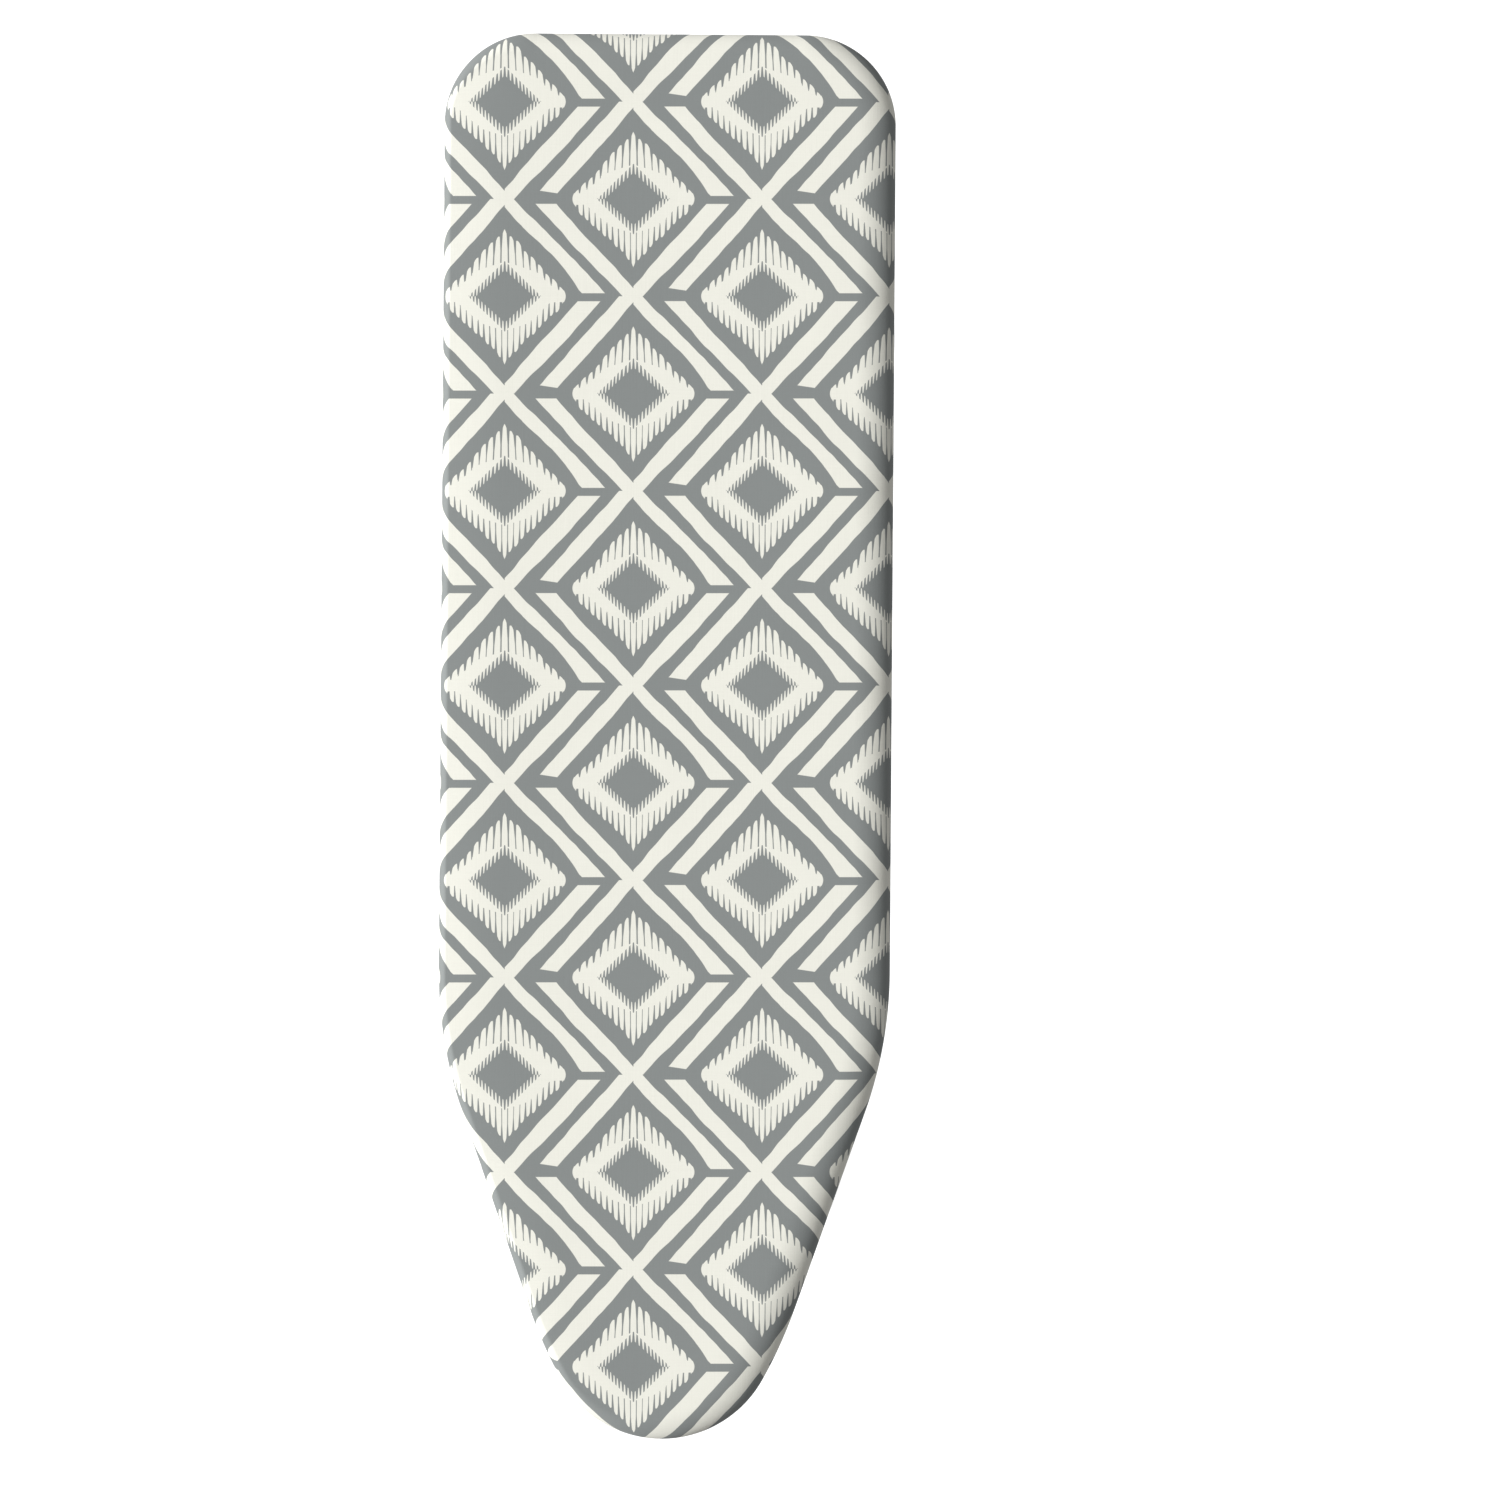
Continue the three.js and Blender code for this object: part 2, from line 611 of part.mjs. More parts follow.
for (const [leg, { group, direction, y, footHalf, topHole }] of Object.entries(LEGS)) {
  for (const [side, sign] of [["left", 1], ["right", -1]]) {
    piece(`${leg}_leg_tube_${side}`, legTube(direction, sign * y, topHole), FINISH.frame, group);
    const foot = new THREE.Group();
    foot.position.x = direction * LEG_LENGTH;
    foot.rotation.y = -group.rotation.y;
    group.add(foot);
    piece(`${leg}_foot_cap_${side}`, footCap(footHalf, sign), FINISH.plastic, foot);
  }
  piece(`${leg}_leg_brace`, brace(direction, y), FINISH.frame, group);
  piece(`${leg}_foot_bar`, footBar(direction, footHalf), FINISH.frame, group);
}

// Plugs that close the tubes' top ends, a hollow cup each.
function endPlug(direction, y) {
  const bore = LEG_RADIUS - TUBE_WALL - GAP;
  const plug = turned([
    [0, 2.8], [7, 2.3], [LEG_RADIUS - 0.8, 1], [LEG_RADIUS, 0], [bore, 0],
    [bore, -4], [0, -4],
  ], ROUND);
  const placed = plug.translate(0, TUBE_END + GAP, 0);
  return placed.rotateZ(direction > 0 ? Math.PI / 2 : -Math.PI / 2).translate(0, y, 0);
}

for (const [leg, { group, direction, y }] of Object.entries(LEGS)) {
  piece(`${leg}_tube_plug_left`, endPlug(direction, y), FINISH.plastic, group);
  piece(`${leg}_tube_plug_right`, endPlug(direction, -y), FINISH.plastic, group);
}

// Pivot where the legs cross: a bolt with a domed head, a spacer between the tubes and a cap nut.
const pivotX = -UPPER_LENGTH;
const innerFace = INNER_LEG_Y - LEG_RADIUS - GAP;
const outerFace = OUTER_LEG_Y + LEG_RADIUS + GAP;

function crossBolt(side) {
  const bolt = turned([
    [0, innerFace - 4.5], [4, innerFace - 4], [7, innerFace - 1.5], [7.5, innerFace], [PIN_RADIUS, innerFace],
    [PIN_RADIUS, outerFace + 5], [0, outerFace + 5],
  ], COARSE).translate(pivotX, 0, 0);
  return side > 0 ? bolt : mirroredY(bolt);
}

function capNut(side) {
  const hexagon = turned([[0, outerFace], [7.5, outerFace], [7.5, outerFace + 5], [0, outerFace + 5]], 6);
  const dome = turned([
    [0, outerFace + 4], [6, outerFace + 4], [5.6, outerFace + 6.5], [3.6, outerFace + 8.4], [0, outerFace + 9],
  ], COARSE);
  const bore = barY(PIN_RADIUS + GAP, outerFace - 1, outerFace + 5 + GAP);
  const nut = cut(join(hexagon, dome), bore).translate(pivotX, 0, 0);
  return side > 0 ? nut : mirroredY(nut);
}

function pivotSpacer(side) {
  const [a, b] = [INNER_LEG_Y + LEG_RADIUS + GAP, OUTER_LEG_Y - LEG_RADIUS - GAP];
  const bore = PIN_RADIUS + GAP;
  const spacer = turned([[bore, a], [10, a], [10, b], [bore, b]], COARSE).translate(pivotX, 0, 0);
  return side > 0 ? spacer : mirroredY(spacer);
}

for (const [side, sign] of [["left", 1], ["right", -1]]) {
  piece(`cross_bolt_${side}`, crossBolt(sign), FINISH.zinc, outerLeg);
  piece(`cross_cap_nut_${side}`, capNut(sign), FINISH.zinc, outerLeg);
  piece(`cross_spacer_${side}`, pivotSpacer(sign), FINISH.nylon, outerLeg);
}

// Catch rod across the top of the inner leg, riveted over outside the tubes.
function catchRod() {
  const face = INNER_LEG_Y + LEG_RADIUS + GAP;
  const r = CATCH_ROD_RADIUS;
  return turned([
    [0, -face - 2.2], [5.5, -face - 2.2], [7, -face], [r, -face],
    [r, face], [7, face], [5.5, face + 2.2], [0, face + 2.2],
  ], COARSE);
}

// Nylon glide on the catch rod, running in the rail's slot.
function railGlide(side) {
  const bore = CATCH_ROD_RADIUS + GAP;
  const [inner, face, outer] = [RAIL_Y - 4.5, RAIL_Y - RAIL_SHEET / 2 - GAP, RAIL_Y + RAIL_SHEET / 2 + 0.1];
  const glide = turned([
    [bore, inner], [9, inner], [9, face], [GLIDE_RADIUS, face], [GLIDE_RADIUS, outer], [bore, outer],
  ], COARSE);
  return side > 0 ? glide : mirroredY(glide);
}

piece("catch_rod", catchRod(), FINISH.zinc, innerLeg);
piece("rail_glide_left", railGlide(1), FINISH.nylon, innerLeg);
piece("rail_glide_right", railGlide(-1), FINISH.nylon, innerLeg);

// ---------------------------------------------------------------- height release lever

const gripZ = LEVER_Z - (GRIP_Y - LEVER_Y) * Math.tan(LEVER_DROP);

function leverRod() {
  const corners = [
    new THREE.Vector3(LEVER_FRONT_X, LEVER_Y, LEVER_Z),
    new THREE.Vector3(LEVER_REAR_X, LEVER_Y, LEVER_Z),
    new THREE.Vector3(LEVER_REAR_X, GRIP_Y, gripZ),
    new THREE.Vector3(GRIP_FRONT_X + 4, GRIP_Y, gripZ),
  ];
  return wire(rounded(corners, 14, 5), LEVER_RADIUS, 10);
}

// Moulded grip sleeve, blind at its front end, with a soft swell for the fingers.
function leverGrip() {
  const rear = LEVER_REAR_X + 20;
  const length = GRIP_FRONT_X - rear + 10;
  const bore = LEVER_RADIUS + GAP;
  const swell = [0.78, 0.94, 1, 0.97, 0.93, 0.97, 1, 0.94];
  const skin = swell.map((share, i) => [GRIP_RADIUS * share, (length * (i + 0.25)) / swell.length]);
  return alongX(turned([
    [bore, 0], [5.4, 0], ...skin, [4, length], [0, length + 1],
    [0, length - 6 + GAP], [bore, length - 6 + GAP],
  ], COARSE)).translate(rear, GRIP_Y, gripZ);
}

// Toothed rack: a strip folded down from a web that is welded along the lever's shaft.
const latchFront = catchRodX(legAngle) + 15;
const latchRear = catchRodX(legAngle) - RACK_PITCH * (RACK_NOTCHES - 1) - 15;
const webTop = LEVER_Z + 4;

function latchRack() {
  const [rear, front, top] = [latchRear, latchFront, webTop];
  const tip = HINGE_HEIGHT + CATCH_ROD_RADIUS + RACK_TIP_CLEARANCE;
  const half = CATCH_ROD_RADIUS + 0.8;
  const strip = new THREE.Shape();
  strip.moveTo(rear, top);
  strip.lineTo(rear, tip);
  for (let i = RACK_NOTCHES - 1; i >= 0; i--) {
    const x = catchRodX(legAngle) - RACK_PITCH * i;
    const notch = [[-half, 0], [-half, -2], [-3, 0], [3, 0], [half, -2], [half, 0]];
    notch.forEach(([along, down], k) => {
      const mouth = k === 0 || k === notch.length - 1;
      strip.lineTo(x + along, mouth ? tip : tip + NOTCH_DEPTH + down);
    });
  }
  strip.lineTo(front, tip);
  strip.lineTo(front, top);
  strip.closePath();
  const comb = plateXZ(strip, RACK_Y - RACK_SHEET / 2, RACK_Y + RACK_SHEET / 2);
  const webFrom = LEVER_Y + LEVER_RADIUS + GAP;
  const web = box(rear, front, webFrom, RACK_Y, top - RACK_SHEET, top);
  return join(comb, web);
}

// Return spring: a coil round the shaft, one tail hooked up behind the rail, one pressing on the web.
function leverSpring() {
  const coilRadius = 4.4;
  const wireRadius = 0.5;
  const [turns, steps, pitch] = [5.3, 9, 1.8];
  const start = latchRear - 18;
  const up = (height) => new THREE.Vector3(start - 0.6, LEVER_Y - coilRadius, LEVER_Z + height);
  const coil = Array.from({ length: Math.round(turns * steps) + 1 }, (_, i) => {
    const turn = Math.PI - (2 * Math.PI * i) / steps;
    return new THREE.Vector3(
      start + (pitch * i) / steps, LEVER_Y + coilRadius * Math.cos(turn), LEVER_Z + coilRadius * Math.sin(turn),
    );
  });
  const overWeb = (x, y) => new THREE.Vector3(x, y, webTop + 2 * wireRadius + GAP);
  const tail = [overWeb(latchRear - 4, LEVER_Y + 6), overWeb(latchRear + 12, LEVER_Y + 9)];
  return wire([up(11), up(4), ...coil.slice(1), ...tail], wireRadius, 5);
}

piece("lever_rod", leverRod(), FINISH.zinc);
piece("lever_grip", leverGrip(), FINISH.plastic);
piece("latch_rack", latchRack(), FINISH.zinc);
piece("lever_spring", leverSpring(), FINISH.spring);

export default board;
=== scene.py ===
"""A folding ironing board: a printed cotton cover on a steel top, over scissor legs set to full height.

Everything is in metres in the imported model's frame: +X runs to the rounded nose, +Y to the board's own
left, +Z is up, and the floor is at z = 0.
"""

import json

import bmesh
import bpy
import numpy as np
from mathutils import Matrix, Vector


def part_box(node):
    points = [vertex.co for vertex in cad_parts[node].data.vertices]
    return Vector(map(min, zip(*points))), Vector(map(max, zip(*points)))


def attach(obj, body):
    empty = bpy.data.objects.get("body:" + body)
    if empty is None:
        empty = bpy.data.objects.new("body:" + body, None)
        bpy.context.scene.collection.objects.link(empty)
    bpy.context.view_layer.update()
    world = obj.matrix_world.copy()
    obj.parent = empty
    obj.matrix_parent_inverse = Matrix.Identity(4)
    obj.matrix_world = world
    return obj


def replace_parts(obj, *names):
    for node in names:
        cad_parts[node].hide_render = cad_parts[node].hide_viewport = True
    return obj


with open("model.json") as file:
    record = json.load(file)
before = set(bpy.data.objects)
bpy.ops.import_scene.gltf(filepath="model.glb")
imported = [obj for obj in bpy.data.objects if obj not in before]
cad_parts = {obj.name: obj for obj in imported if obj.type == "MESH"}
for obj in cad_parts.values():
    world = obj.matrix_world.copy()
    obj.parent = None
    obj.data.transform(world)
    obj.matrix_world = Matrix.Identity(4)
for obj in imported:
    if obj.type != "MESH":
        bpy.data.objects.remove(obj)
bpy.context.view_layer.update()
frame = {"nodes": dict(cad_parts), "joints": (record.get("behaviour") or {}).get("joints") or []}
nodes = frame["nodes"]
joints = {joint["name"]: joint for joint in frame["joints"]}

# ---------------------------------------------------------------- camera
# A long lens looks straight down at the ironing surface. The board lies a little left of and above the
# middle, and leans by less than half a degree.

MM = 0.001
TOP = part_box("cover")[1].z
CAMERA_ABOVE = 4.5
VIEW_WIDTH = 1288 * MM
AIM_RIGHT = 73.1 * MM
AIM_DOWN = 12.4 * MM
LEAN = np.radians(0.4)

lens = bpy.data.cameras.new("overhead")
lens.sensor_width = 36
lens.lens = lens.sensor_width * CAMERA_ABOVE / VIEW_WIDTH
lens.clip_end = 100
camera = bpy.data.objects.new("overhead", lens)
camera.location = (
    AIM_DOWN * np.cos(LEAN) - AIM_RIGHT * np.sin(LEAN),
    AIM_DOWN * np.sin(LEAN) + AIM_RIGHT * np.cos(LEAN),
    TOP + CAMERA_ABOVE,
)
camera.rotation_euler = (0, 0, np.pi / 2 + LEAN)
bpy.context.collection.objects.link(camera)
bpy.context.scene.camera = camera

# ---------------------------------------------------------------- studio
# A pale floor under an even white sky, and one soft light low on the board's right-hand side, so that
# the cover's left-hand edge rolls off into shade. The floor looks lit through, which keeps it white.

SKY_LIGHT = 0.31
SKY_SEEN = 0.95
SIDE_LIGHT = 4.6
SIDE_LIGHT_SPREAD = np.radians(16)
SIDE_LIGHT_TRAVEL = Vector((0.08, 0.85, -0.52))
FLOOR_HALF = 15
FLOOR_GREY = (0.4, 0.4, 0.4, 1)
FLOOR_GLOW = 0.9

bpy.context.scene.view_settings.view_transform = "Standard"

sky = bpy.data.worlds.new("white_sky")
sky.use_nodes = True
sky_light = sky.node_tree.nodes.new("ShaderNodeMix")
sky_light.inputs["A"].default_value = SKY_LIGHT
sky_light.inputs["B"].default_value = SKY_SEEN
seen = sky.node_tree.nodes.new("ShaderNodeLightPath").outputs["Is Camera Ray"]
sky.node_tree.links.new(seen, sky_light.inputs["Factor"])
sky.node_tree.links.new(sky_light.outputs["Result"], sky.node_tree.nodes["Background"].inputs["Strength"])
sky.node_tree.nodes["Background"].inputs["Color"].default_value = (1, 1, 1, 1)
bpy.context.scene.world = sky

side_light = bpy.data.lights.new("side_light", "SUN")
side_light.energy = SIDE_LIGHT
side_light.angle = SIDE_LIGHT_SPREAD
light = bpy.data.objects.new("side_light", side_light)
light.rotation_euler = SIDE_LIGHT_TRAVEL.to_track_quat("-Z", "Y").to_euler()
bpy.context.collection.objects.link(light)

floor_mesh = bpy.data.meshes.new("floor")
floor_corners = [(-1, -1), (1, -1), (1, 1), (-1, 1)]
floor_mesh.from_pydata([(x * FLOOR_HALF, y * FLOOR_HALF, 0) for x, y in floor_corners], [], [(0, 1, 2, 3)])
floor = bpy.data.objects.new("floor", floor_mesh)
bpy.context.collection.objects.link(floor)

floor_paint = bpy.data.materials.new("floor_paint")
floor_paint.use_nodes = True
floor_shader = floor_paint.node_tree.nodes["Principled BSDF"]
floor_shader.inputs["Base Color"].default_value = FLOOR_GREY
floor_shader.inputs["Roughness"].default_value = 0.9
floor_shader.inputs["Emission Strength"].default_value = FLOOR_GLOW
seen = floor_paint.node_tree.nodes.new("ShaderNodeLightPath").outputs["Is Camera Ray"]
floor_paint.node_tree.links.new(seen, floor_shader.inputs["Emission Color"])
floor_mesh.materials.append(floor_paint)

# ---------------------------------------------------------------- printed cover
# One sheet of plain-woven cotton, printed with a cream lattice on grey. It is drawn tight over the pad
# and rolls round the steel rim to a hem underneath, which its elastic gathers into small folds.

# Plan of the bare rim: nose, cheek, straight taper, shoulder, straight side, rear corner, rear edge.
RIM_HALF_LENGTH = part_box("rim")[1].x
RIM_HALF_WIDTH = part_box("rim")[1].y
NOSE_RADIUS = 95 * MM
NOSE_FACING = np.radians(61)
CHEEK_RADIUS = 389 * MM
TAPER_FACING = np.radians(70.7)
SHOULDER_RADIUS = 360 * MM
CORNER_RADIUS = 74 * MM


def toward(angle):
    return np.array([np.cos(angle), np.sin(angle)])


def rim_stretches():
    """The left half of the rim's plan, as (length, radius, centre or start, facing) of each stretch.

    Each stretch starts where the last one ends and faces the same way there, so they join smoothly.
    """
    nose_centre = np.array([RIM_HALF_LENGTH - NOSE_RADIUS, 0])
    cheek_centre = nose_centre + (NOSE_RADIUS - CHEEK_RADIUS) * toward(NOSE_FACING)
    taper_start = cheek_centre + CHEEK_RADIUS * toward(TAPER_FACING)
    shoulder_y = RIM_HALF_WIDTH - SHOULDER_RADIUS
    taper_end_y = shoulder_y + SHOULDER_RADIUS * np.sin(TAPER_FACING)
    taper_length = (taper_end_y - taper_start[1]) / np.cos(TAPER_FACING)
    taper_end_x = taper_start[0] - taper_length * np.sin(TAPER_FACING)
    shoulder_x = taper_end_x - SHOULDER_RADIUS * np.cos(TAPER_FACING)
    corner_centre = np.array([CORNER_RADIUS - RIM_HALF_LENGTH, RIM_HALF_WIDTH - CORNER_RADIUS])
    quarter = np.pi / 2
    return [
        (NOSE_FACING * NOSE_RADIUS, NOSE_RADIUS, nose_centre, 0),
        ((TAPER_FACING - NOSE_FACING) * CHEEK_RADIUS, CHEEK_RADIUS, cheek_centre, NOSE_FACING),
        (taper_length, 0, taper_start, TAPER_FACING),
        ((quarter - TAPER_FACING) * SHOULDER_RADIUS, SHOULDER_RADIUS, (shoulder_x, shoulder_y), TAPER_FACING),
        (shoulder_x - corner_centre[0], 0, (shoulder_x, RIM_HALF_WIDTH), quarter),
        (quarter * CORNER_RADIUS, CORNER_RADIUS, corner_centre, quarter),
        (corner_centre[1], 0, (-RIM_HALF_LENGTH, corner_centre[1]), np.pi),
    ]


class Plan:
    """Evenly spaced points round the bare rim, seen from above, and the way the edge faces at each.

    On an arc the facing turns by length / radius and a point is centre + radius (cos, sin) of it; on a
    straight it stays, and the point runs along (-sin, cos) of it. The right half mirrors the left.
    """

    def __init__(self, count):
        stretches = rim_stretches()
        starts = np.cumsum([0] + [stretch[0] for stretch in stretches])
        half = count // 2
        along = starts[-1] * (np.arange(half) + 0.5) / half
        x, y, facing = np.empty((3, half))
        for start, (length, radius, (x0, y0), first) in zip(starts, stretches):
            on = (along >= start) & (along <= start + length)
            run = along[on] - start
            turned_by = run / radius if radius else 0 * run
            facing[on] = first + turned_by
            x[on] = x0 + (radius * np.cos(facing[on]) if radius else -run * np.sin(first))
            y[on] = y0 + (radius * np.sin(facing[on]) if radius else run * np.cos(first))
        self.x = np.concatenate([x, x[::-1]])
        self.y = np.concatenate([y, -y[::-1]])
        self.facing = np.concatenate([facing, -facing[::-1]])
        self.length = 2 * starts[-1]
        self.along = np.concatenate([along, self.length - along[::-1]])

    def offset(self, distance):
        """The points moved outwards by distance, which is one number, or one for each row or each point."""
        return self.x + distance * np.cos(self.facing), self.y + distance * np.sin(self.facing)

    def around(self, offset, height):
        """A section of offsets and heights carried round the rim, as rows by columns by xyz.

        They are one number for each row, or one for each row and column.
        """
        offset, height = (np.asarray(values).reshape(len(values), -1) for values in (offset, height))
        x, y = self.offset(offset)
        return np.stack([x, y, np.broadcast_to(height, x.shape)], -1)


def quads(rows, columns, close_rows=False, close_columns=True):
    """Corner numbers of the quads between neighbouring points of a grid, rows by columns."""
    corner = np.arange(rows * columns).reshape(rows, columns)
    if close_rows:
        corner = np.concatenate([corner, corner[:1]])
    if close_columns:
        corner = np.concatenate([corner, corner[:, :1]], 1)
    return np.stack([corner[:-1, :-1], corner[:-1, 1:], corner[1:, 1:], corner[1:, :-1]], -1).reshape(-1, 4)


def middle_strip(first, columns):
    """Quads that close a ring across the middle, each from two left-hand points to their mirror points."""
    step = np.arange(columns // 2 - 1)
    left = first + step
    right = first + columns - 1 - step
    return np.stack([left, left + 1, right - 1, right], -1)


def new_piece(name, body, slot, finish, points, *faces, smooth=40):
    """A mesh of points and faces that rides on body, faces outwards and has the given finish.

    Edges that bend by more than smooth degrees stay sharp. The slot argument is not used.
    """
    mesh = bpy.data.meshes.new(name)
    mesh.from_pydata(points.reshape(-1, 3).tolist(), [], [face for group in faces for face in group.tolist()])
    turned_out = bmesh.new()
    turned_out.from_mesh(mesh)
    bmesh.ops.recalc_face_normals(turned_out, faces=turned_out.faces)
    turned_out.to_mesh(mesh)
    turned_out.free()
    mesh.polygons.foreach_set("use_smooth", np.ones(len(mesh.polygons), bool))
    mesh.set_sharp_from_angle(angle=np.radians(smooth))
    mesh.materials.append(finish)
    piece = bpy.data.objects.new(name, mesh)
    bpy.context.collection.objects.link(piece)
    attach(piece, body)
    return piece


class Reading:
    """A number that changes over a surface: a node's output that can be added, multiplied and compared."""

    def __init__(self, socket):
        self.socket = socket

    def math(self, operation, *others):
        tree = self.socket.id_data
        node = tree.nodes.new("ShaderNodeMath")
        node.operation = operation
        for entry, value in zip(node.inputs, (self, *others)):
            feed(tree, entry, value)
        return Reading(node.outputs[0])

    def __add__(self, other):
        return self.math("ADD", other)

    def __sub__(self, other):
        return self.math("SUBTRACT", other)

    def __rsub__(self, other):
        return self.math("MULTIPLY_ADD", -1, other)

    def __mul__(self, other):
        return self.math("MULTIPLY", other)

    def __truediv__(self, other):
        return self.math("DIVIDE", other)

    def __abs__(self):
        return self.math("ABSOLUTE")

    __radd__ = __add__
    __rmul__ = __mul__

    def above(self, level):
        return self.math("GREATER_THAN", level)

    def clipped(self):
        held = self.math("ADD", 0)
        held.socket.node.use_clamp = True
        return held

    def eased(self):
        """Three x squared less two x cubed, for x held between 0 and 1."""
        x = self.clipped()
        return x * x * (3 - 2 * x)


def feed(tree, entry, value):
    """Join a reading or a socket to a node's entry, or set the entry to a value."""
    if isinstance(value, Reading):
        value = value.socket
    if isinstance(value, bpy.types.NodeSocket):
        tree.links.new(value, entry)
    else:
        entry.default_value = value

def least(first, *others):
    for other in others:
        first = first.math("MINIMUM", other)
    return first


def most(first, *others):
    for other in others:
        first = first.math("MAXIMUM", other)
    return first


def effect(name, inputs, outputs):
    """A shader node group with the named inputs and outputs: its tree, its given and its result sockets."""
    tree = bpy.data.node_groups.new(name, "ShaderNodeTree")
    for label, kind in inputs.items():
        tree.interface.new_socket(label, in_out="INPUT", socket_type="NodeSocket" + kind)
    for label, kind in outputs.items():
        tree.interface.new_socket(label, in_out="OUTPUT", socket_type="NodeSocket" + kind)
    return tree, tree.nodes.new("NodeGroupInput").outputs, tree.nodes.new("NodeGroupOutput").inputs


def give(tree, result, **values):
    """Join an effect's values to its outputs, and hand back its tree."""
    for label, value in values.items():
        feed(tree, result[label], value)
    return tree

def add_node(tree, kind, inputs, **settings):
    """A node with its settings made and its inputs joined to sockets and readings, or set to values."""
    node = tree.nodes.new(kind)
    for name, value in settings.items():
        setattr(node, name, value)
    for label, value in inputs.items():
        feed(tree, node.inputs[label], value)
    return node


def place_effect(tree, group, **inputs):
    return add_node(tree, "ShaderNodeGroup", inputs, node_tree=group).outputs


def noise(tree, vector, scale, detail=2, **inputs):
    """Soft random variation from 0 to 1, mostly near a half, with scale patches to the metre."""
    inputs = {"Vector": vector, "Scale": scale, "Detail": detail, **inputs}
    return Reading(add_node(tree, "ShaderNodeTexNoise", inputs).outputs["Fac"])


def blended(tree, share, start, end):
    """A colour between start and end, by share."""
    node = tree.nodes.new("ShaderNodeMix")
    node.data_type = "RGBA"
    for entry, value in ((0, share), (6, start), (7, end)):
        feed(tree, node.inputs[entry], value)
    return node.outputs[2]

def shaded(tree, color, shade):
    """A colour made lighter or darker, shade times."""
    scaled = add_node(tree, "ShaderNodeVectorMath", {"Vector": color, "Scale": shade}, operation="SCALE")
    return scaled.outputs[0]


def new_finish(name, **constants):
    """A material, its node tree and its shader, with constants set on the shader's own sockets."""
    finish = bpy.data.materials.new(name)
    finish.use_nodes = True
    shader = finish.node_tree.nodes["Principled BSDF"]
    for label, value in constants.items():
        shader.inputs[label.replace("_", " ")].default_value = value
    return finish, finish.node_tree, shader


def dress(tree, shader, color, roughness, height, bump_distance):
    """Join a colour, a roughness and a bump height to a shader."""
    bump = add_node(tree, "ShaderNodeBump", {"Height": height, "Distance": bump_distance, "Strength": 1})
    for label, value in (("Base Color", color), ("Roughness", roughness), ("Normal", bump.outputs["Normal"])):
        feed(tree, shader.inputs[label], value)


# The print, in millimetres of cloth: a cell holds four slanting strokes round a fringed diamond ring.
REPEAT_ACROSS = 220.8
REPEAT_ALONG = 166.9
CELL_ACROSS = -27.7
CELL_ALONG = 39.7
INK_SOFTNESS = 0.4


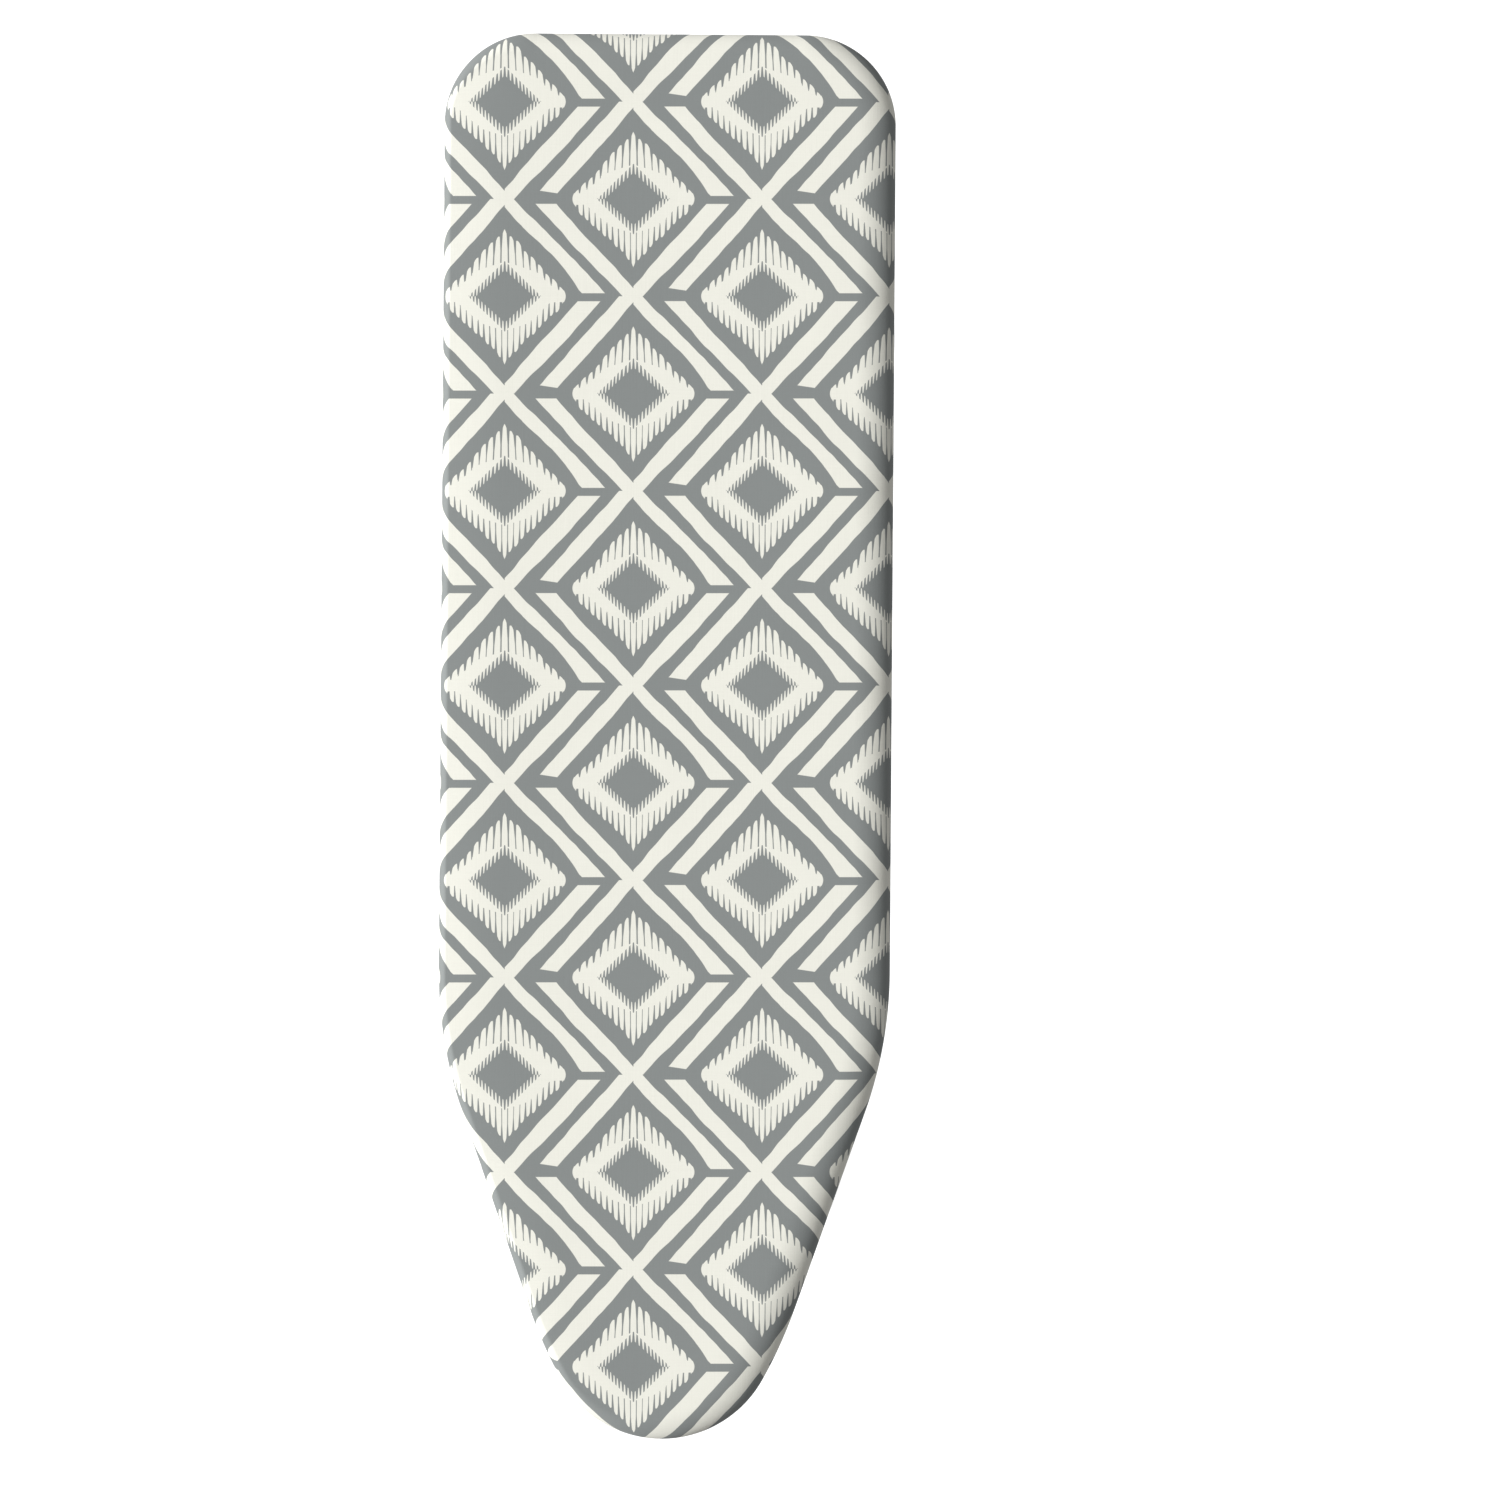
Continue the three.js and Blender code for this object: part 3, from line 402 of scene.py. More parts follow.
def print_cell():
    """The cream of one cell, from its middle: Across runs to the board's left, Along to its nose.

    Each part of the drawing is a distance in millimetres inside its own edge, so the least of several is
    where they overlap and the most of several is all of them together.
    """
    tree, given, result = effect("print_cell", {"Across": "Float", "Along": "Float"}, {"Cream": "Float"})
    across = Reading(given["Across"])
    along = Reading(given["Along"])
    b = abs(across)
    a = abs(along)
    left_side = across.above(0)
    rear_half = (along * -1).above(0)

    def by_quarter(rear_left, rear_right, front_right, front_left):
        rear = left_side * (rear_left - rear_right) + rear_right
        front = left_side * (front_left - front_right) + front_right
        return rear_half * (rear - front) + front

    here = add_node(tree, "ShaderNodeCombineXYZ", {"X": across, "Y": along}).outputs[0]
    at_border = ((b - 92) / 18).eased() + ((a - 66) / 17).eased()
    wobble = (noise(tree, here, 0.04, 1.5) - 0.5) * (1 - at_border) * 4.5

    # Four strokes, cut off short of the cell's middle line. Their inner edges bow outwards, and they
    # narrow towards the crossings.
    from_bow = (a - 32) / 27
    bow = most(1 - from_bow * from_bow, 0) * by_quarter(4.4, 0, 1.8, 0.4)
    outer = by_quarter(88.0, 86.6, 88.2, 86.3) - by_quarter(0.945, 0.872, 0.928, 0.919) * a
    inner = by_quarter(68.8, 69.5, 69.4, 66.9) - by_quarter(0.920, 0.905, 0.925, 0.915) * a
    slanted_cut = (b - 67) * 0.15 + 5.1
    cut = by_quarter(2.6, slanted_cut, 4.2, 4.3)
    pinch = ((a - 48) / 22).eased() * 1.5
    stroke = least(outer + bow * 0.15 + wobble - pinch - b, b - inner - bow - wobble - pinch, a - cut)

    def by_half(rear, front):
        return rear_half * (rear - front) + front

    # The ring's fingers point straight along the board. Each is widest at its root, and the one on the
    # middle line is the longest.
    lean = b + (a - 50) * (b / 12).clipped() * by_half(0.06, 0.03)
    pitch = by_half(5.8, 4.9)
    place = lean / pitch
    finger = (place + 0.5).math("FLOOR")
    off_centre = abs((place + 0.5).math("FRACT") - 0.5)
    which = add_node(tree, "ShaderNodeCombineXYZ", {"X": finger, "Y": left_side + rear_half * 2}).outputs[0]
    chance = Reading(add_node(tree, "ShaderNodeTexWhiteNoise", {"Vector": which}).outputs["Value"])
    point = by_half(58.0, 55.3) - by_half(1.06, 0.94) * b - a + (1 - b / 6).clipped() * (1 - rear_half) * 3
    tip = least(point, 52.8 - a * 0.3 - b) + (chance - 0.5) * 3
    length = by_half(15.0, 12.8) - by_half(0.22, 0.06) * b
    reach = (tip / length).clipped()
    rounding = (reach * 8).clipped().math("SQRT")
    half_width = (0.24 + chance * 0.07 + reach * 0.15) * rounding
    fingers = least((half_width - off_centre) * pitch, tip)
    root = by_half(43.0, 42.5) - by_half(0.838, 0.93) * b
    body = least(most(root + (chance - 0.5) * 3, 5) - a + wobble * 0.4, 52.3 - b - a * a * 0.06)

    # Inside the ring, finer teeth point to its middle.
    hole = 30.3 - b * 0.97 - a + wobble * 0.3
    tooth_length = 7.8 - b * 0.06
    tooth_reach = (1 - hole / tooth_length).clipped()
    tooth_place = abs((lean / 2.8).math("FRACT") - 0.5)
    teeth = least((0.12 + tooth_reach * 0.2 - tooth_place) * 2.8, tooth_length - hole)
    ring = least(most(body, fingers), most(hole * -1, teeth))

    return give(tree, result, Cream=(most(stroke, ring) / INK_SOFTNESS + 0.5).clipped())


def cover_print(cell):
    """The cream of the whole print: the cell, repeated, and again half a repeat across and along."""
    tree, given, result = effect("cover_print", {"Cloth": "Vector"}, {"Cream": "Float"})
    cloth = add_node(tree, "ShaderNodeSeparateXYZ", {"Vector": given["Cloth"]}).outputs
    x = Reading(cloth["X"]) / MM
    y = Reading(cloth["Y"]) / MM
    across = y * np.cos(LEAN) - x * np.sin(LEAN)
    along = x * np.cos(LEAN) + y * np.sin(LEAN)

    def in_repeat(distance, centre, repeat):
        return (distance - centre).math("WRAP", repeat / 2, -repeat / 2)

    creams = []
    for half in (0, 0.5):
        u = in_repeat(across, CELL_ACROSS + half * REPEAT_ACROSS, REPEAT_ACROSS)
        v = in_repeat(along, CELL_ALONG + half * REPEAT_ALONG, REPEAT_ALONG)
        creams.append(Reading(place_effect(tree, cell, Across=u, Along=v)["Cream"]))
    return give(tree, result, Cream=most(*creams))

def weave():
    """Plain weave: Height rises and falls as the product of two cosines, one for each way of the thread.

    Slub is a slow streakiness along the threads of each way.
    """
    tree, given, result = effect(
        "plain_weave", {"Cloth": "Vector", "Threads": "Float"}, {"Height": "Float", "Slub": "Float"}
    )
    cloth = add_node(tree, "ShaderNodeSeparateXYZ", {"Vector": given["Cloth"]}).outputs
    turn = Reading(given["Threads"]) * np.pi
    warp = (Reading(cloth["X"]) * turn).math("COSINE")
    weft = (Reading(cloth["Y"]) * turn).math("COSINE")
    streaks = []
    for scale in ((900, 25, 1), (25, 900, 1)):
        stretched = add_node(tree, "ShaderNodeMapping", {"Vector": given["Cloth"], "Scale": scale})
        streaks.append(noise(tree, stretched.outputs[0], 1, 2))
    return give(tree, result, Height=warp * weft * 0.5 + 0.5, Slub=(streaks[0] + streaks[1]) * 0.5)


plain_weave = weave()
INK_GREY = (0.232, 0.249, 0.245, 1)
COTTON_CREAM = (0.838, 0.832, 0.750, 1)
THREADS_PER_METRE = 2200


def printed_cotton():
    """Grey ink on cream cotton, woven and a little slubby, and very slightly uneven in colour; the weave's
    hollows are darkened as painted shade.
    """
    finish, tree, shader = new_finish("printed_cotton", Sheen_Weight=0.12, Sheen_Roughness=0.5)
    cloth = add_node(tree, "ShaderNodeUVMap", {}, uv_map="cloth").outputs[0]
    cream = place_effect(tree, cover_print(print_cell()), Cloth=cloth)["Cream"]
    woven = place_effect(tree, plain_weave, Cloth=cloth, Threads=THREADS_PER_METRE)
    height, slub = Reading(woven["Height"]), Reading(woven["Slub"])
    uneven = noise(tree, cloth, 14, 3)
    color = blended(tree, Reading(cream), INK_GREY, COTTON_CREAM)
    # The weave's height term darkens the hollows between the threads: painted shade.
    shade = 0.97 + (slub - 0.5) * 0.10 + (uneven - 0.5) * 0.05 + (height - 0.5) * 0.05
    roughness = 0.80 + (slub - 0.5) * 0.2 + Reading(cream) * 0.06
    dress(tree, shader, shaded(tree, color, shade), roughness, height + slub * 2, 0.05 * MM)
    return finish


# The cloth's section: over the edge, under it, and in along the hem. The roll over the edge is widest on
# the left-hand side and narrowest on the right, because the cover is drawn tighter to the right.
COVER_OUT = 4 * MM
CLOTH_THICKNESS = 0.9 * MM
MEAN_ROLL_IN = 20 * MM
ROLL_IN_SWING = 13 * MM
ROLL_DOWN = 14 * MM
UNDER_ROLL_IN = 12 * MM
HEM_WIDTH = 37 * MM
COVER_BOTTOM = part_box("cover")[0].z
ROLL_HEIGHT = TOP - ROLL_DOWN
HEM_EDGE = COVER_OUT - HEM_WIDTH
GATHER_SPACING = 15 * MM
GATHER_DEPTH = 3 * MM
GATHERS_START = 34 * MM
GATHERS_FULL = 4 * MM


def roll_in(plan):
    return MEAN_ROLL_IN + ROLL_IN_SWING * np.sin(plan.facing)


def cover_section(plan):
    """The cloth's outside by steps down its section (rows) and places round the rim (columns).

    A quarter of an ellipse rolls over the edge, a smaller one turns under it, and a level hem follows.
    Gives the offset, the height, and the offset that the same thread has in the flat cloth.
    """
    over = np.linspace(0, np.pi / 2, 12)[:, None]
    under = np.linspace(0, np.pi / 2, 7)[1:, None]
    level = np.linspace(0, 1, 8)[1:, None]
    offset = np.concatenate([
        COVER_OUT - roll_in(plan) * (1 - np.sin(over)),
        COVER_OUT - UNDER_ROLL_IN * (1 - np.cos(under)) + 0 * plan.x,
        COVER_OUT - UNDER_ROLL_IN - (HEM_WIDTH - UNDER_ROLL_IN) * level + 0 * plan.x,
    ])
    height = np.concatenate([
        ROLL_HEIGHT + ROLL_DOWN * np.cos(over) + 0 * plan.x,
        ROLL_HEIGHT - (ROLL_HEIGHT - COVER_BOTTOM) * np.sin(under) + 0 * plan.x,
        COVER_BOTTOM + 0 * level + 0 * plan.x,
    ])
    step = np.hypot(np.diff(offset, axis=0), np.diff(height, axis=0))
    flat = offset[:1] + np.concatenate([0 * offset[:1], np.cumsum(step, 0)])
    return offset, height, flat


def ramp(low, high, value):
    share = np.clip((value - low) / (high - low), 0, 1)
    return share * share * (3 - 2 * share)


def gather_drop(plan, to_hem):
    """How far the hem's folds hang below the section, where to_hem metres of cloth are left to its edge.

    A fold is 0.5 - 0.5 cos(phase). The phase advances unevenly round the board, the folds are deeper at
    the nose and the corners, and they grow from nothing under the edge to full depth at the hem.
    """
    turn = 2 * np.pi * plan.along / plan.length
    folds = round(plan.length / GATHER_SPACING)
    uneven = 1.7 * np.sin(19 * turn + 0.7) + 1.2 * np.sin(33 * turn + 2.1) + 0.8 * np.sin(57 * turn)
    wave = 0.5 - 0.5 * np.cos(folds * turn + uneven)
    varied = 0.78 + 0.22 * np.sin(29 * turn + 1.2) * np.sin(11 * turn)
    bend = ramp(0.05, 0.5, np.abs(np.abs(plan.facing) - np.pi / 2))
    grow = ramp(-GATHERS_START, -GATHERS_FULL, -to_hem)
    return GATHER_DEPTH * grow * wave * varied * (0.5 + 0.5 * bend)


COVER_COLUMNS = 1600
SPINE_REAR = CORNER_RADIUS + 100 * MM - RIM_HALF_LENGTH
SPINE_NOSE = RIM_HALF_LENGTH - NOSE_RADIUS
NEAR_SPINE = 0.02

cover_plan = Plan(COVER_COLUMNS)
offset, height, flat_offset = cover_section(cover_plan)
rolled_cloth = cover_plan.around(offset, height)
rolled_cloth[..., 2] -= gather_drop(cover_plan, flat_offset[-1] - flat_offset)
edge_x, edge_y = cover_plan.offset(offset[0])
spine_x = np.clip(edge_x, SPINE_REAR, SPINE_NOSE)
share = np.linspace(NEAR_SPINE, 1, 5)[:-1, None]
top_x = spine_x + share * (edge_x - spine_x)
top_y = share * edge_y

# The ring nearest the spine has its rear end bowed, so that the strip which closes it has no flat quads.
top_x[0] -= NEAR_SPINE * (edge_x - spine_x) * 0.5 * (edge_y / RIM_HALF_WIDTH) ** 2
flat_top = np.stack([top_x, top_y, np.full_like(top_x, TOP)], -1)
cover_points = np.concatenate([flat_top, rolled_cloth])
cover_rows = len(cover_points)
cut_x, cut_y = cover_plan.offset(flat_offset)
cloth_x = np.concatenate([top_x, cut_x])
cloth_y = np.concatenate([top_y, cut_y])

cover = new_piece(
    "cover_cloth", "board", "printed_cotton", printed_cotton(), cover_points,
    quads(cover_rows, COVER_COLUMNS), middle_strip(0, COVER_COLUMNS), smooth=180,
)
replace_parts(cover, "cover")


def lay_cloth_map(piece, x, y):
    """A UV map in metres of flat cloth, from one x and y for each point of the mesh."""
    point = np.empty(len(piece.data.loops), np.int32)
    piece.data.loops.foreach_get("vertex_index", point)
    flat = np.stack([x.reshape(-1)[point], y.reshape(-1)[point]], -1)
    piece.data.uv_layers.new(name="cloth").data.foreach_set("uv", flat.reshape(-1).astype(np.float32))


lay_cloth_map(cover, cloth_x, cloth_y)
wall = cover.modifiers.new("cloth_thickness", "SOLIDIFY")
wall.thickness = CLOTH_THICKNESS
wall.offset = -1

# ---------------------------------------------------------------- hem binding and stitching
# The hem's inner edge is bound with narrow cream twill tape over a round elastic, which puckers it.
# One row of cream thread holds the tape.

BINDING_RADIUS = 2.1 * MM
BINDING_OFFSET = HEM_EDGE - 2.3 * MM
BINDING_HEIGHT = COVER_BOTTOM + 0.5 * MM
PUCKERS = 620
PUCKER_DEPTH = 0.32 * MM


def round_turns(steps):
    """Evenly spaced angles round a full turn, without the last, which is the first again."""
    return np.linspace(0, 2 * np.pi, steps + 1)[:-1]

def binding_tape():
    """Cream twill: slanting ribs, with painted shade that makes each groove between the ribs darker than the
    rib crests.
    """
    finish, tree, shader = new_finish("binding_tape", Sheen_Weight=0.15, Sheen_Roughness=0.4)
    cloth = add_node(tree, "ShaderNodeUVMap", {}, uv_map="cloth").outputs[0]
    flat = add_node(tree, "ShaderNodeSeparateXYZ", {"Vector": cloth}).outputs
    slant = (Reading(flat["X"]) + Reading(flat["Y"])) * (2 * np.pi / (1.1 * MM))
    rib_height_and_shade = slant.math("SINE") * 0.5 + 0.5
    uneven = noise(tree, cloth, 90, 2)
    # Dark in each groove and light on each rib crest: painted shade, mixed with random unevenness.
    color = blended(tree, rib_height_and_shade * 0.5 + uneven * 0.5, (0.56, 0.53, 0.45, 1), (0.80, 0.77, 0.68, 1))
    dress(tree, shader, color, 0.8 + (uneven - 0.5) * 0.2, rib_height_and_shade, 0.09 * MM)
    return finish


BINDING_COLUMNS = 3200
binding_plan = Plan(BINDING_COLUMNS)
around = round_turns(10)
pucker_turn = PUCKERS * 2 * np.pi * binding_plan.along / binding_plan.length
pucker = np.sin(pucker_turn + 1.5 * np.sin(pucker_turn / 7))
hem_drop = gather_drop(binding_plan, 0)
binding_radius = BINDING_RADIUS + PUCKER_DEPTH * pucker
every = np.ones(len(around))
binding_points = binding_plan.around(BINDING_OFFSET * every, BINDING_HEIGHT * every)
outwards = np.stack([np.cos(binding_plan.facing), np.sin(binding_plan.facing)], -1)
binding_points[..., :2] += (np.cos(around)[:, None] * binding_radius)[..., None] * outwards
binding_points[..., 2] += np.sin(around)[:, None] * binding_radius - hem_drop
binding = new_piece(
    "hem_binding", "board", "elastic_tape", binding_tape(), binding_points,
    quads(len(around), BINDING_COLUMNS, close_rows=True), smooth=180,
)
lay_cloth_map(
    binding,
    np.broadcast_to(binding_plan.along, (len(around), BINDING_COLUMNS)),
    np.broadcast_to((around * BINDING_RADIUS)[:, None], (len(around), BINDING_COLUMNS)),
)
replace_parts(binding, "hem_elastic")

STITCHES = 860
STITCH_FROM_HEM = 2.5 * MM
THREAD_RADIUS = 0.28 * MM
thread_taper = np.array([0.45, 0.9, 1, 0.9, 0.45])
stitch_steps = len(thread_taper)


def sewing_thread():
    """Cream thread of two plies, twisted, which shows as slanting bands of painted shade, darker in the
    grooves between the plies.
    """
    finish, tree, shader = new_finish("sewing_thread", Sheen_Weight=0.1)
    place = add_node(tree, "ShaderNodeTexCoord", {}).outputs["Object"]
    at = add_node(tree, "ShaderNodeSeparateXYZ", {"Vector": place}).outputs
    twist = (Reading(at["X"]) + Reading(at["Y"]) + Reading(at["Z"])) * (2 * np.pi / (0.7 * MM))
    ply_height_and_shade = twist.math("SINE") * 0.5 + 0.5
    # Darker in each groove between the plies: painted shade.
    color = blended(tree, ply_height_and_shade, (0.60, 0.57, 0.49, 1), (0.84, 0.81, 0.73, 1))
    dress(tree, shader, color, 0.55 + ply_height_and_shade * 0.1, ply_height_and_shade, 0.05 * MM)
    return finish


def stitch_row(plan, to_hem, proud):
    """Short spindles lying on the cloth: rings round every point of plan, small at each stitch's ends.

    A stitch takes up stitch_steps neighbouring points, and the step to the next one is its gap.
    """
    line = plan.around([HEM_EDGE + to_hem], [COVER_BOTTOM - proud])[0]
    line[:, 2] -= gather_drop(plan, to_hem)
    outward = np.stack([np.cos(plan.facing), np.sin(plan.facing), 0 * plan.facing], -1)
    turn = round_turns(6)
    radius = THREAD_RADIUS * np.tile(thread_taper, len(plan.x) // stitch_steps)
    ring = np.cos(turn)[:, None] * outward[:, None] + np.sin(turn)[:, None] * np.array([0, 0, 1])
    return line[:, None] + radius[:, None, None] * ring


stitch_plan = Plan(STITCHES * stitch_steps)
stitch_points = stitch_row(stitch_plan, STITCH_FROM_HEM, THREAD_RADIUS * 0.6)
sides = stitch_points.shape[1]
first_corner = np.arange(STITCHES)[:, None, None] * stitch_steps * sides
stitch_sides = (quads(stitch_steps, sides)[None] + first_corner).reshape(-1, 4)
start_caps = np.arange(sides) + first_corner[:, 0]
end_caps = start_caps + (stitch_steps - 1) * sides
stitching = new_piece(
    "hem_stitching", "board", "printed_cotton", sewing_thread(), stitch_points,
    stitch_sides, start_caps, end_caps, smooth=180,
)

next_x, next_y = np.roll(cut_x[-1], -1), np.roll(cut_y[-1], -1)
cut_area = abs(np.sum(cut_x[-1] * next_y - next_x * cut_y[-1])) / 2

# ---------------------------------------------------------------- felt pad
# Needled felt, cut to the board's shape and lying on the steel deck. Its top edge is soft and rounds
# off under the cover.

PAD_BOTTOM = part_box("pad")[0].z
PAD_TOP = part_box("pad")[1].z
PAD_COLUMNS = 500
PAD_INSET = CLOTH_THICKNESS + 0.4 * MM
EDGE_TURN_END = np.radians(52)


def felt():
    """Matted grey-white fibres with darker flecks, rough all over."""
    finish, tree, shader = new_finish("needled_felt", Sheen_Weight=0.3, Sheen_Roughness=0.6)
    place = add_node(tree, "ShaderNodeTexCoord", {}).outputs["Object"]
    fibres = noise(tree, place, 900, 6, Roughness=0.75, Distortion=1.5)
    flecks = ((noise(tree, place, 420, 3) - 0.62) * 12).clipped()
    mottled = blended(tree, fibres, (0.44, 0.42, 0.38, 1), (0.72, 0.69, 0.62, 1))
    color = blended(tree, flecks * 0.6, mottled, (0.20, 0.20, 0.22, 1))
    dress(tree, shader, color, 0.9 + (fibres - 0.5) * 0.1, fibres, 0.5 * MM)
    return finish


pad_plan = Plan(PAD_COLUMNS)
pad_turn = np.linspace(0, EDGE_TURN_END, 8)[:, None]
pad_roll = roll_in(pad_plan)
pad_offset = COVER_OUT - pad_roll + (pad_roll - PAD_INSET) * np.sin(pad_turn)
pad_height = ROLL_HEIGHT + (PAD_TOP - ROLL_HEIGHT) * np.cos(pad_turn) + 0 * pad_offset
pad_edge = pad_height[-1:]
pad_offset = np.concatenate([pad_offset, pad_offset[-1:] + 0.3 * MM, pad_offset[-1:] - 0.6 * MM])
pad_height = np.concatenate([pad_height, (pad_edge + PAD_BOTTOM) / 2, 0 * pad_edge + PAD_BOTTOM])
pad = new_piece(
    "felt_pad", "board", "felt_pad", felt(), pad_plan.around(pad_offset, pad_height),
    quads(len(pad_offset), PAD_COLUMNS), middle_strip(0, PAD_COLUMNS),
    middle_strip((len(pad_offset) - 1) * PAD_COLUMNS, PAD_COLUMNS), smooth=50,
)
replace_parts(pad, "pad")

# ---------------------------------------------------------------- steel deck
# Sheet steel, slit and stretched into diamonds to let steam through, with a plain border that lies on
# the rim. Sprayed and baked with the rest of the frame.

ENAMEL_GREY = (0.50, 0.51, 0.52, 1)


COAT_OUTPUTS = {"Color": "Color", "Roughness": "Float", "Height": "Float"}
CHIP_BROWN = (0.16, 0.15, 0.14, 1)

def powder_coat():
    """Baked powder: a fine orange-peel height, a slow drift of shade, and a few small chips."""
    entries = {"Place": "Vector", "Paint": "Color", "Chip": "Color"}
    tree, given, result = effect("powder_coat", entries, COAT_OUTPUTS)
    peel = noise(tree, given["Place"], 520, 1)
    drift = noise(tree, given["Place"], 9, 3)
    chips = ((noise(tree, given["Place"], 260, 5, Roughness=0.7) - 0.71) * 30).clipped()
    painted = shaded(tree, given["Paint"], 0.94 + drift * 0.12)
    color = blended(tree, chips * 0.7, painted, given["Chip"])
    roughness = 0.34 + (drift - 0.5) * 0.2 + peel * 0.1 + chips * 0.2
    return give(tree, result, Color=color, Roughness=roughness, Height=peel - chips * 0.8)

powder_coat_effect = powder_coat()

def coated(name, coat_effect, bump_distance, constants, **inputs):
    """A finish whose colour, roughness and height come from one effect, placed by Object coordinates."""
    finish, tree, shader = new_finish(name, **constants)
    place = add_node(tree, "ShaderNodeTexCoord", {}).outputs["Object"]
    coat = place_effect(tree, coat_effect, Place=place, **inputs)
    dress(tree, shader, coat["Color"], coat["Roughness"], coat["Height"], bump_distance)
    return finish

def enamel(name, paint, **constants):
    return coated(name, powder_coat_effect, 0.12 * MM, constants, Paint=paint, Chip=CHIP_BROWN)

frame_enamel = enamel("frame_enamel", ENAMEL_GREY, Metallic=0.25)

DIAMOND_LONG = 24 * MM
DIAMOND_SHORT = 11 * MM
STRAND_HALF_WIDTH = 0.85 * MM
BORDER_WIDTH = 20 * MM
BORDER_INSET = 4 * MM
BORDER_LAP = 8 * MM
BORDER_HALF_THICKNESS = 0.45 * MM
STRAND_HALF_THICKNESS = 0.4 * MM
STRAND_TILT = 0.12 * MM
deck_low, deck_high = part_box("deck_sheet")
DECK_MIDDLE = (deck_low.z + deck_high.z) / 2

border_plan = Plan(400)
border_offset = np.array([-BORDER_INSET, -BORDER_WIDTH, -BORDER_WIDTH, -BORDER_INSET])
border_height = DECK_MIDDLE + BORDER_HALF_THICKNESS * np.array([1, 1, -1, -1])
border_points = border_plan.around(border_offset, border_height)
border_quads = quads(4, len(border_plan.x), close_rows=True)

# Strands run both ways between bonds, on a lattice of half diamonds. One way rises from bond to bond and
# the other falls, as stretching twists them, so no two faces lie in one plane.
columns = np.arange(-60, 60)
rows = np.arange(-40, 41)
bond_column, bond_row = (grid.reshape(-1) for grid in np.meshgrid(columns, rows))
even = (bond_column + bond_row) % 2 == 0
bond_column, bond_row = bond_column[even], bond_row[even]
half_diamond = np.array([DIAMOND_LONG, DIAMOND_SHORT]) / 2
starts = np.tile(np.stack([bond_column, bond_row], -1) * half_diamond, (2, 1))
slope = np.repeat([[1, 1], [1, -1]], len(bond_column), axis=0)
ends = starts + slope * half_diamond


def depth_inside(plan, points):
    """How far each point lies inside the rim's plan, measured to its nearest edge point."""
    gap_x = points[:, :1] - plan.x
    gap_y = points[:, 1:] - plan.y
    nearest = np.argmin(gap_x ** 2 + gap_y ** 2, 1)
    pick = np.arange(len(points))
    facing = plan.facing[nearest]
    return -(gap_x[pick, nearest] * np.cos(facing) + gap_y[pick, nearest] * np.sin(facing))


shallowest = np.minimum(depth_inside(border_plan, starts), depth_inside(border_plan, ends))
kept = shallowest > BORDER_WIDTH - BORDER_LAP
starts, ends, way = starts[kept], ends[kept], slope[kept][:, 1:]
strand_way = (ends - starts) / np.linalg.norm(ends - starts, axis=1, keepdims=True)
strand_side = np.stack([-strand_way[:, 1], strand_way[:, 0]], -1) * STRAND_HALF_WIDTH
overlap = strand_way * STRAND_HALF_WIDTH
plan_corners = np.stack([
    starts - overlap - strand_side, ends + overlap - strand_side,
    ends + overlap + strand_side, starts - overlap + strand_side,
], 1)
strand_middle = (DECK_MIDDLE + STRAND_TILT * way * [-0.6, 1.4, 1.4, -0.6])[..., None]
strand_points = np.concatenate([
    np.concatenate([plan_corners, strand_middle + height], -1)
    for height in (-STRAND_HALF_THICKNESS, STRAND_HALF_THICKNESS)
], 1)
box_faces = np.array([
    [0, 3, 2, 1], [4, 5, 6, 7], [0, 1, 5, 4], [1, 2, 6, 5], [2, 3, 7, 6], [3, 0, 4, 7],
])
strand_first = border_points.size // 3 + 8 * np.arange(len(starts))
strand_faces = (box_faces[None] + strand_first[:, None, None]).reshape(-1, 4)
deck_points = np.concatenate([border_points.reshape(-1, 3), strand_points.reshape(-1, 3)])
deck = new_piece(
    "stretched_steel_deck", "board", "grey_enamel", frame_enamel, deck_points, border_quads, strand_faces,
)
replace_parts(deck, "deck_sheet")

# ---------------------------------------------------------------- rim
# One strip of sheet steel rolled to a C and bent round the board, open towards the middle, with its
# two raw edges folded a little inwards.

RIM_WALL = 1 * MM
RIM_COLUMNS = 640
RIM_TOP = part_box("rim")[1].z
RIM_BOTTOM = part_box("rim")[0].z
RIM_BEND = (RIM_TOP - RIM_BOTTOM) / 2
FLANGE = -2 * RIM_BEND - 4 * MM


def c_section(bend, flange, steps):
    """Offsets and heights of a half circle of radius bend, from its upper flange round to its lower one."""
    turn = np.linspace(np.pi / 2, -np.pi / 2, steps)
    centre = (RIM_TOP + RIM_BOTTOM) / 2
    offset = np.concatenate([[flange], -RIM_BEND + bend * np.cos(turn), [flange]])
    height = np.concatenate([[centre + bend], centre + bend * np.sin(turn), [centre - bend]])
    return offset, height


outer_offset, outer_height = c_section(RIM_BEND, FLANGE, 15)
inner_offset, inner_height = c_section(RIM_BEND - RIM_WALL, FLANGE, 13)
rim_offset = np.concatenate([outer_offset, inner_offset[::-1]])
rim_height = np.concatenate([outer_height, inner_height[::-1]])
rim = new_piece(
    "rolled_rim", "board", "grey_enamel", frame_enamel, Plan(RIM_COLUMNS).around(rim_offset, rim_height),
    quads(len(rim_offset), RIM_COLUMNS, close_rows=True),
)
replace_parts(rim, "rim")

# ---------------------------------------------------------------- channels and rails
# Pressed steel sections spot-welded under the deck: three cross channels, and two slotted rails that
# carry the catch rod. Coated with the frame.

for name in (
    "rear_cross_channel", "middle_cross_channel", "front_cross_channel", "slide_rail_left", "slide_rail_right",
):
    nodes[name].material_slots[0].material = frame_enamel

# ---------------------------------------------------------------- leg tubes, braces and foot bars
# Round steel tube. Each leg is two long tubes with a brace between them and a foot bar across their
# ends; the ends are saddle-cut, welded all round and powder-coated.

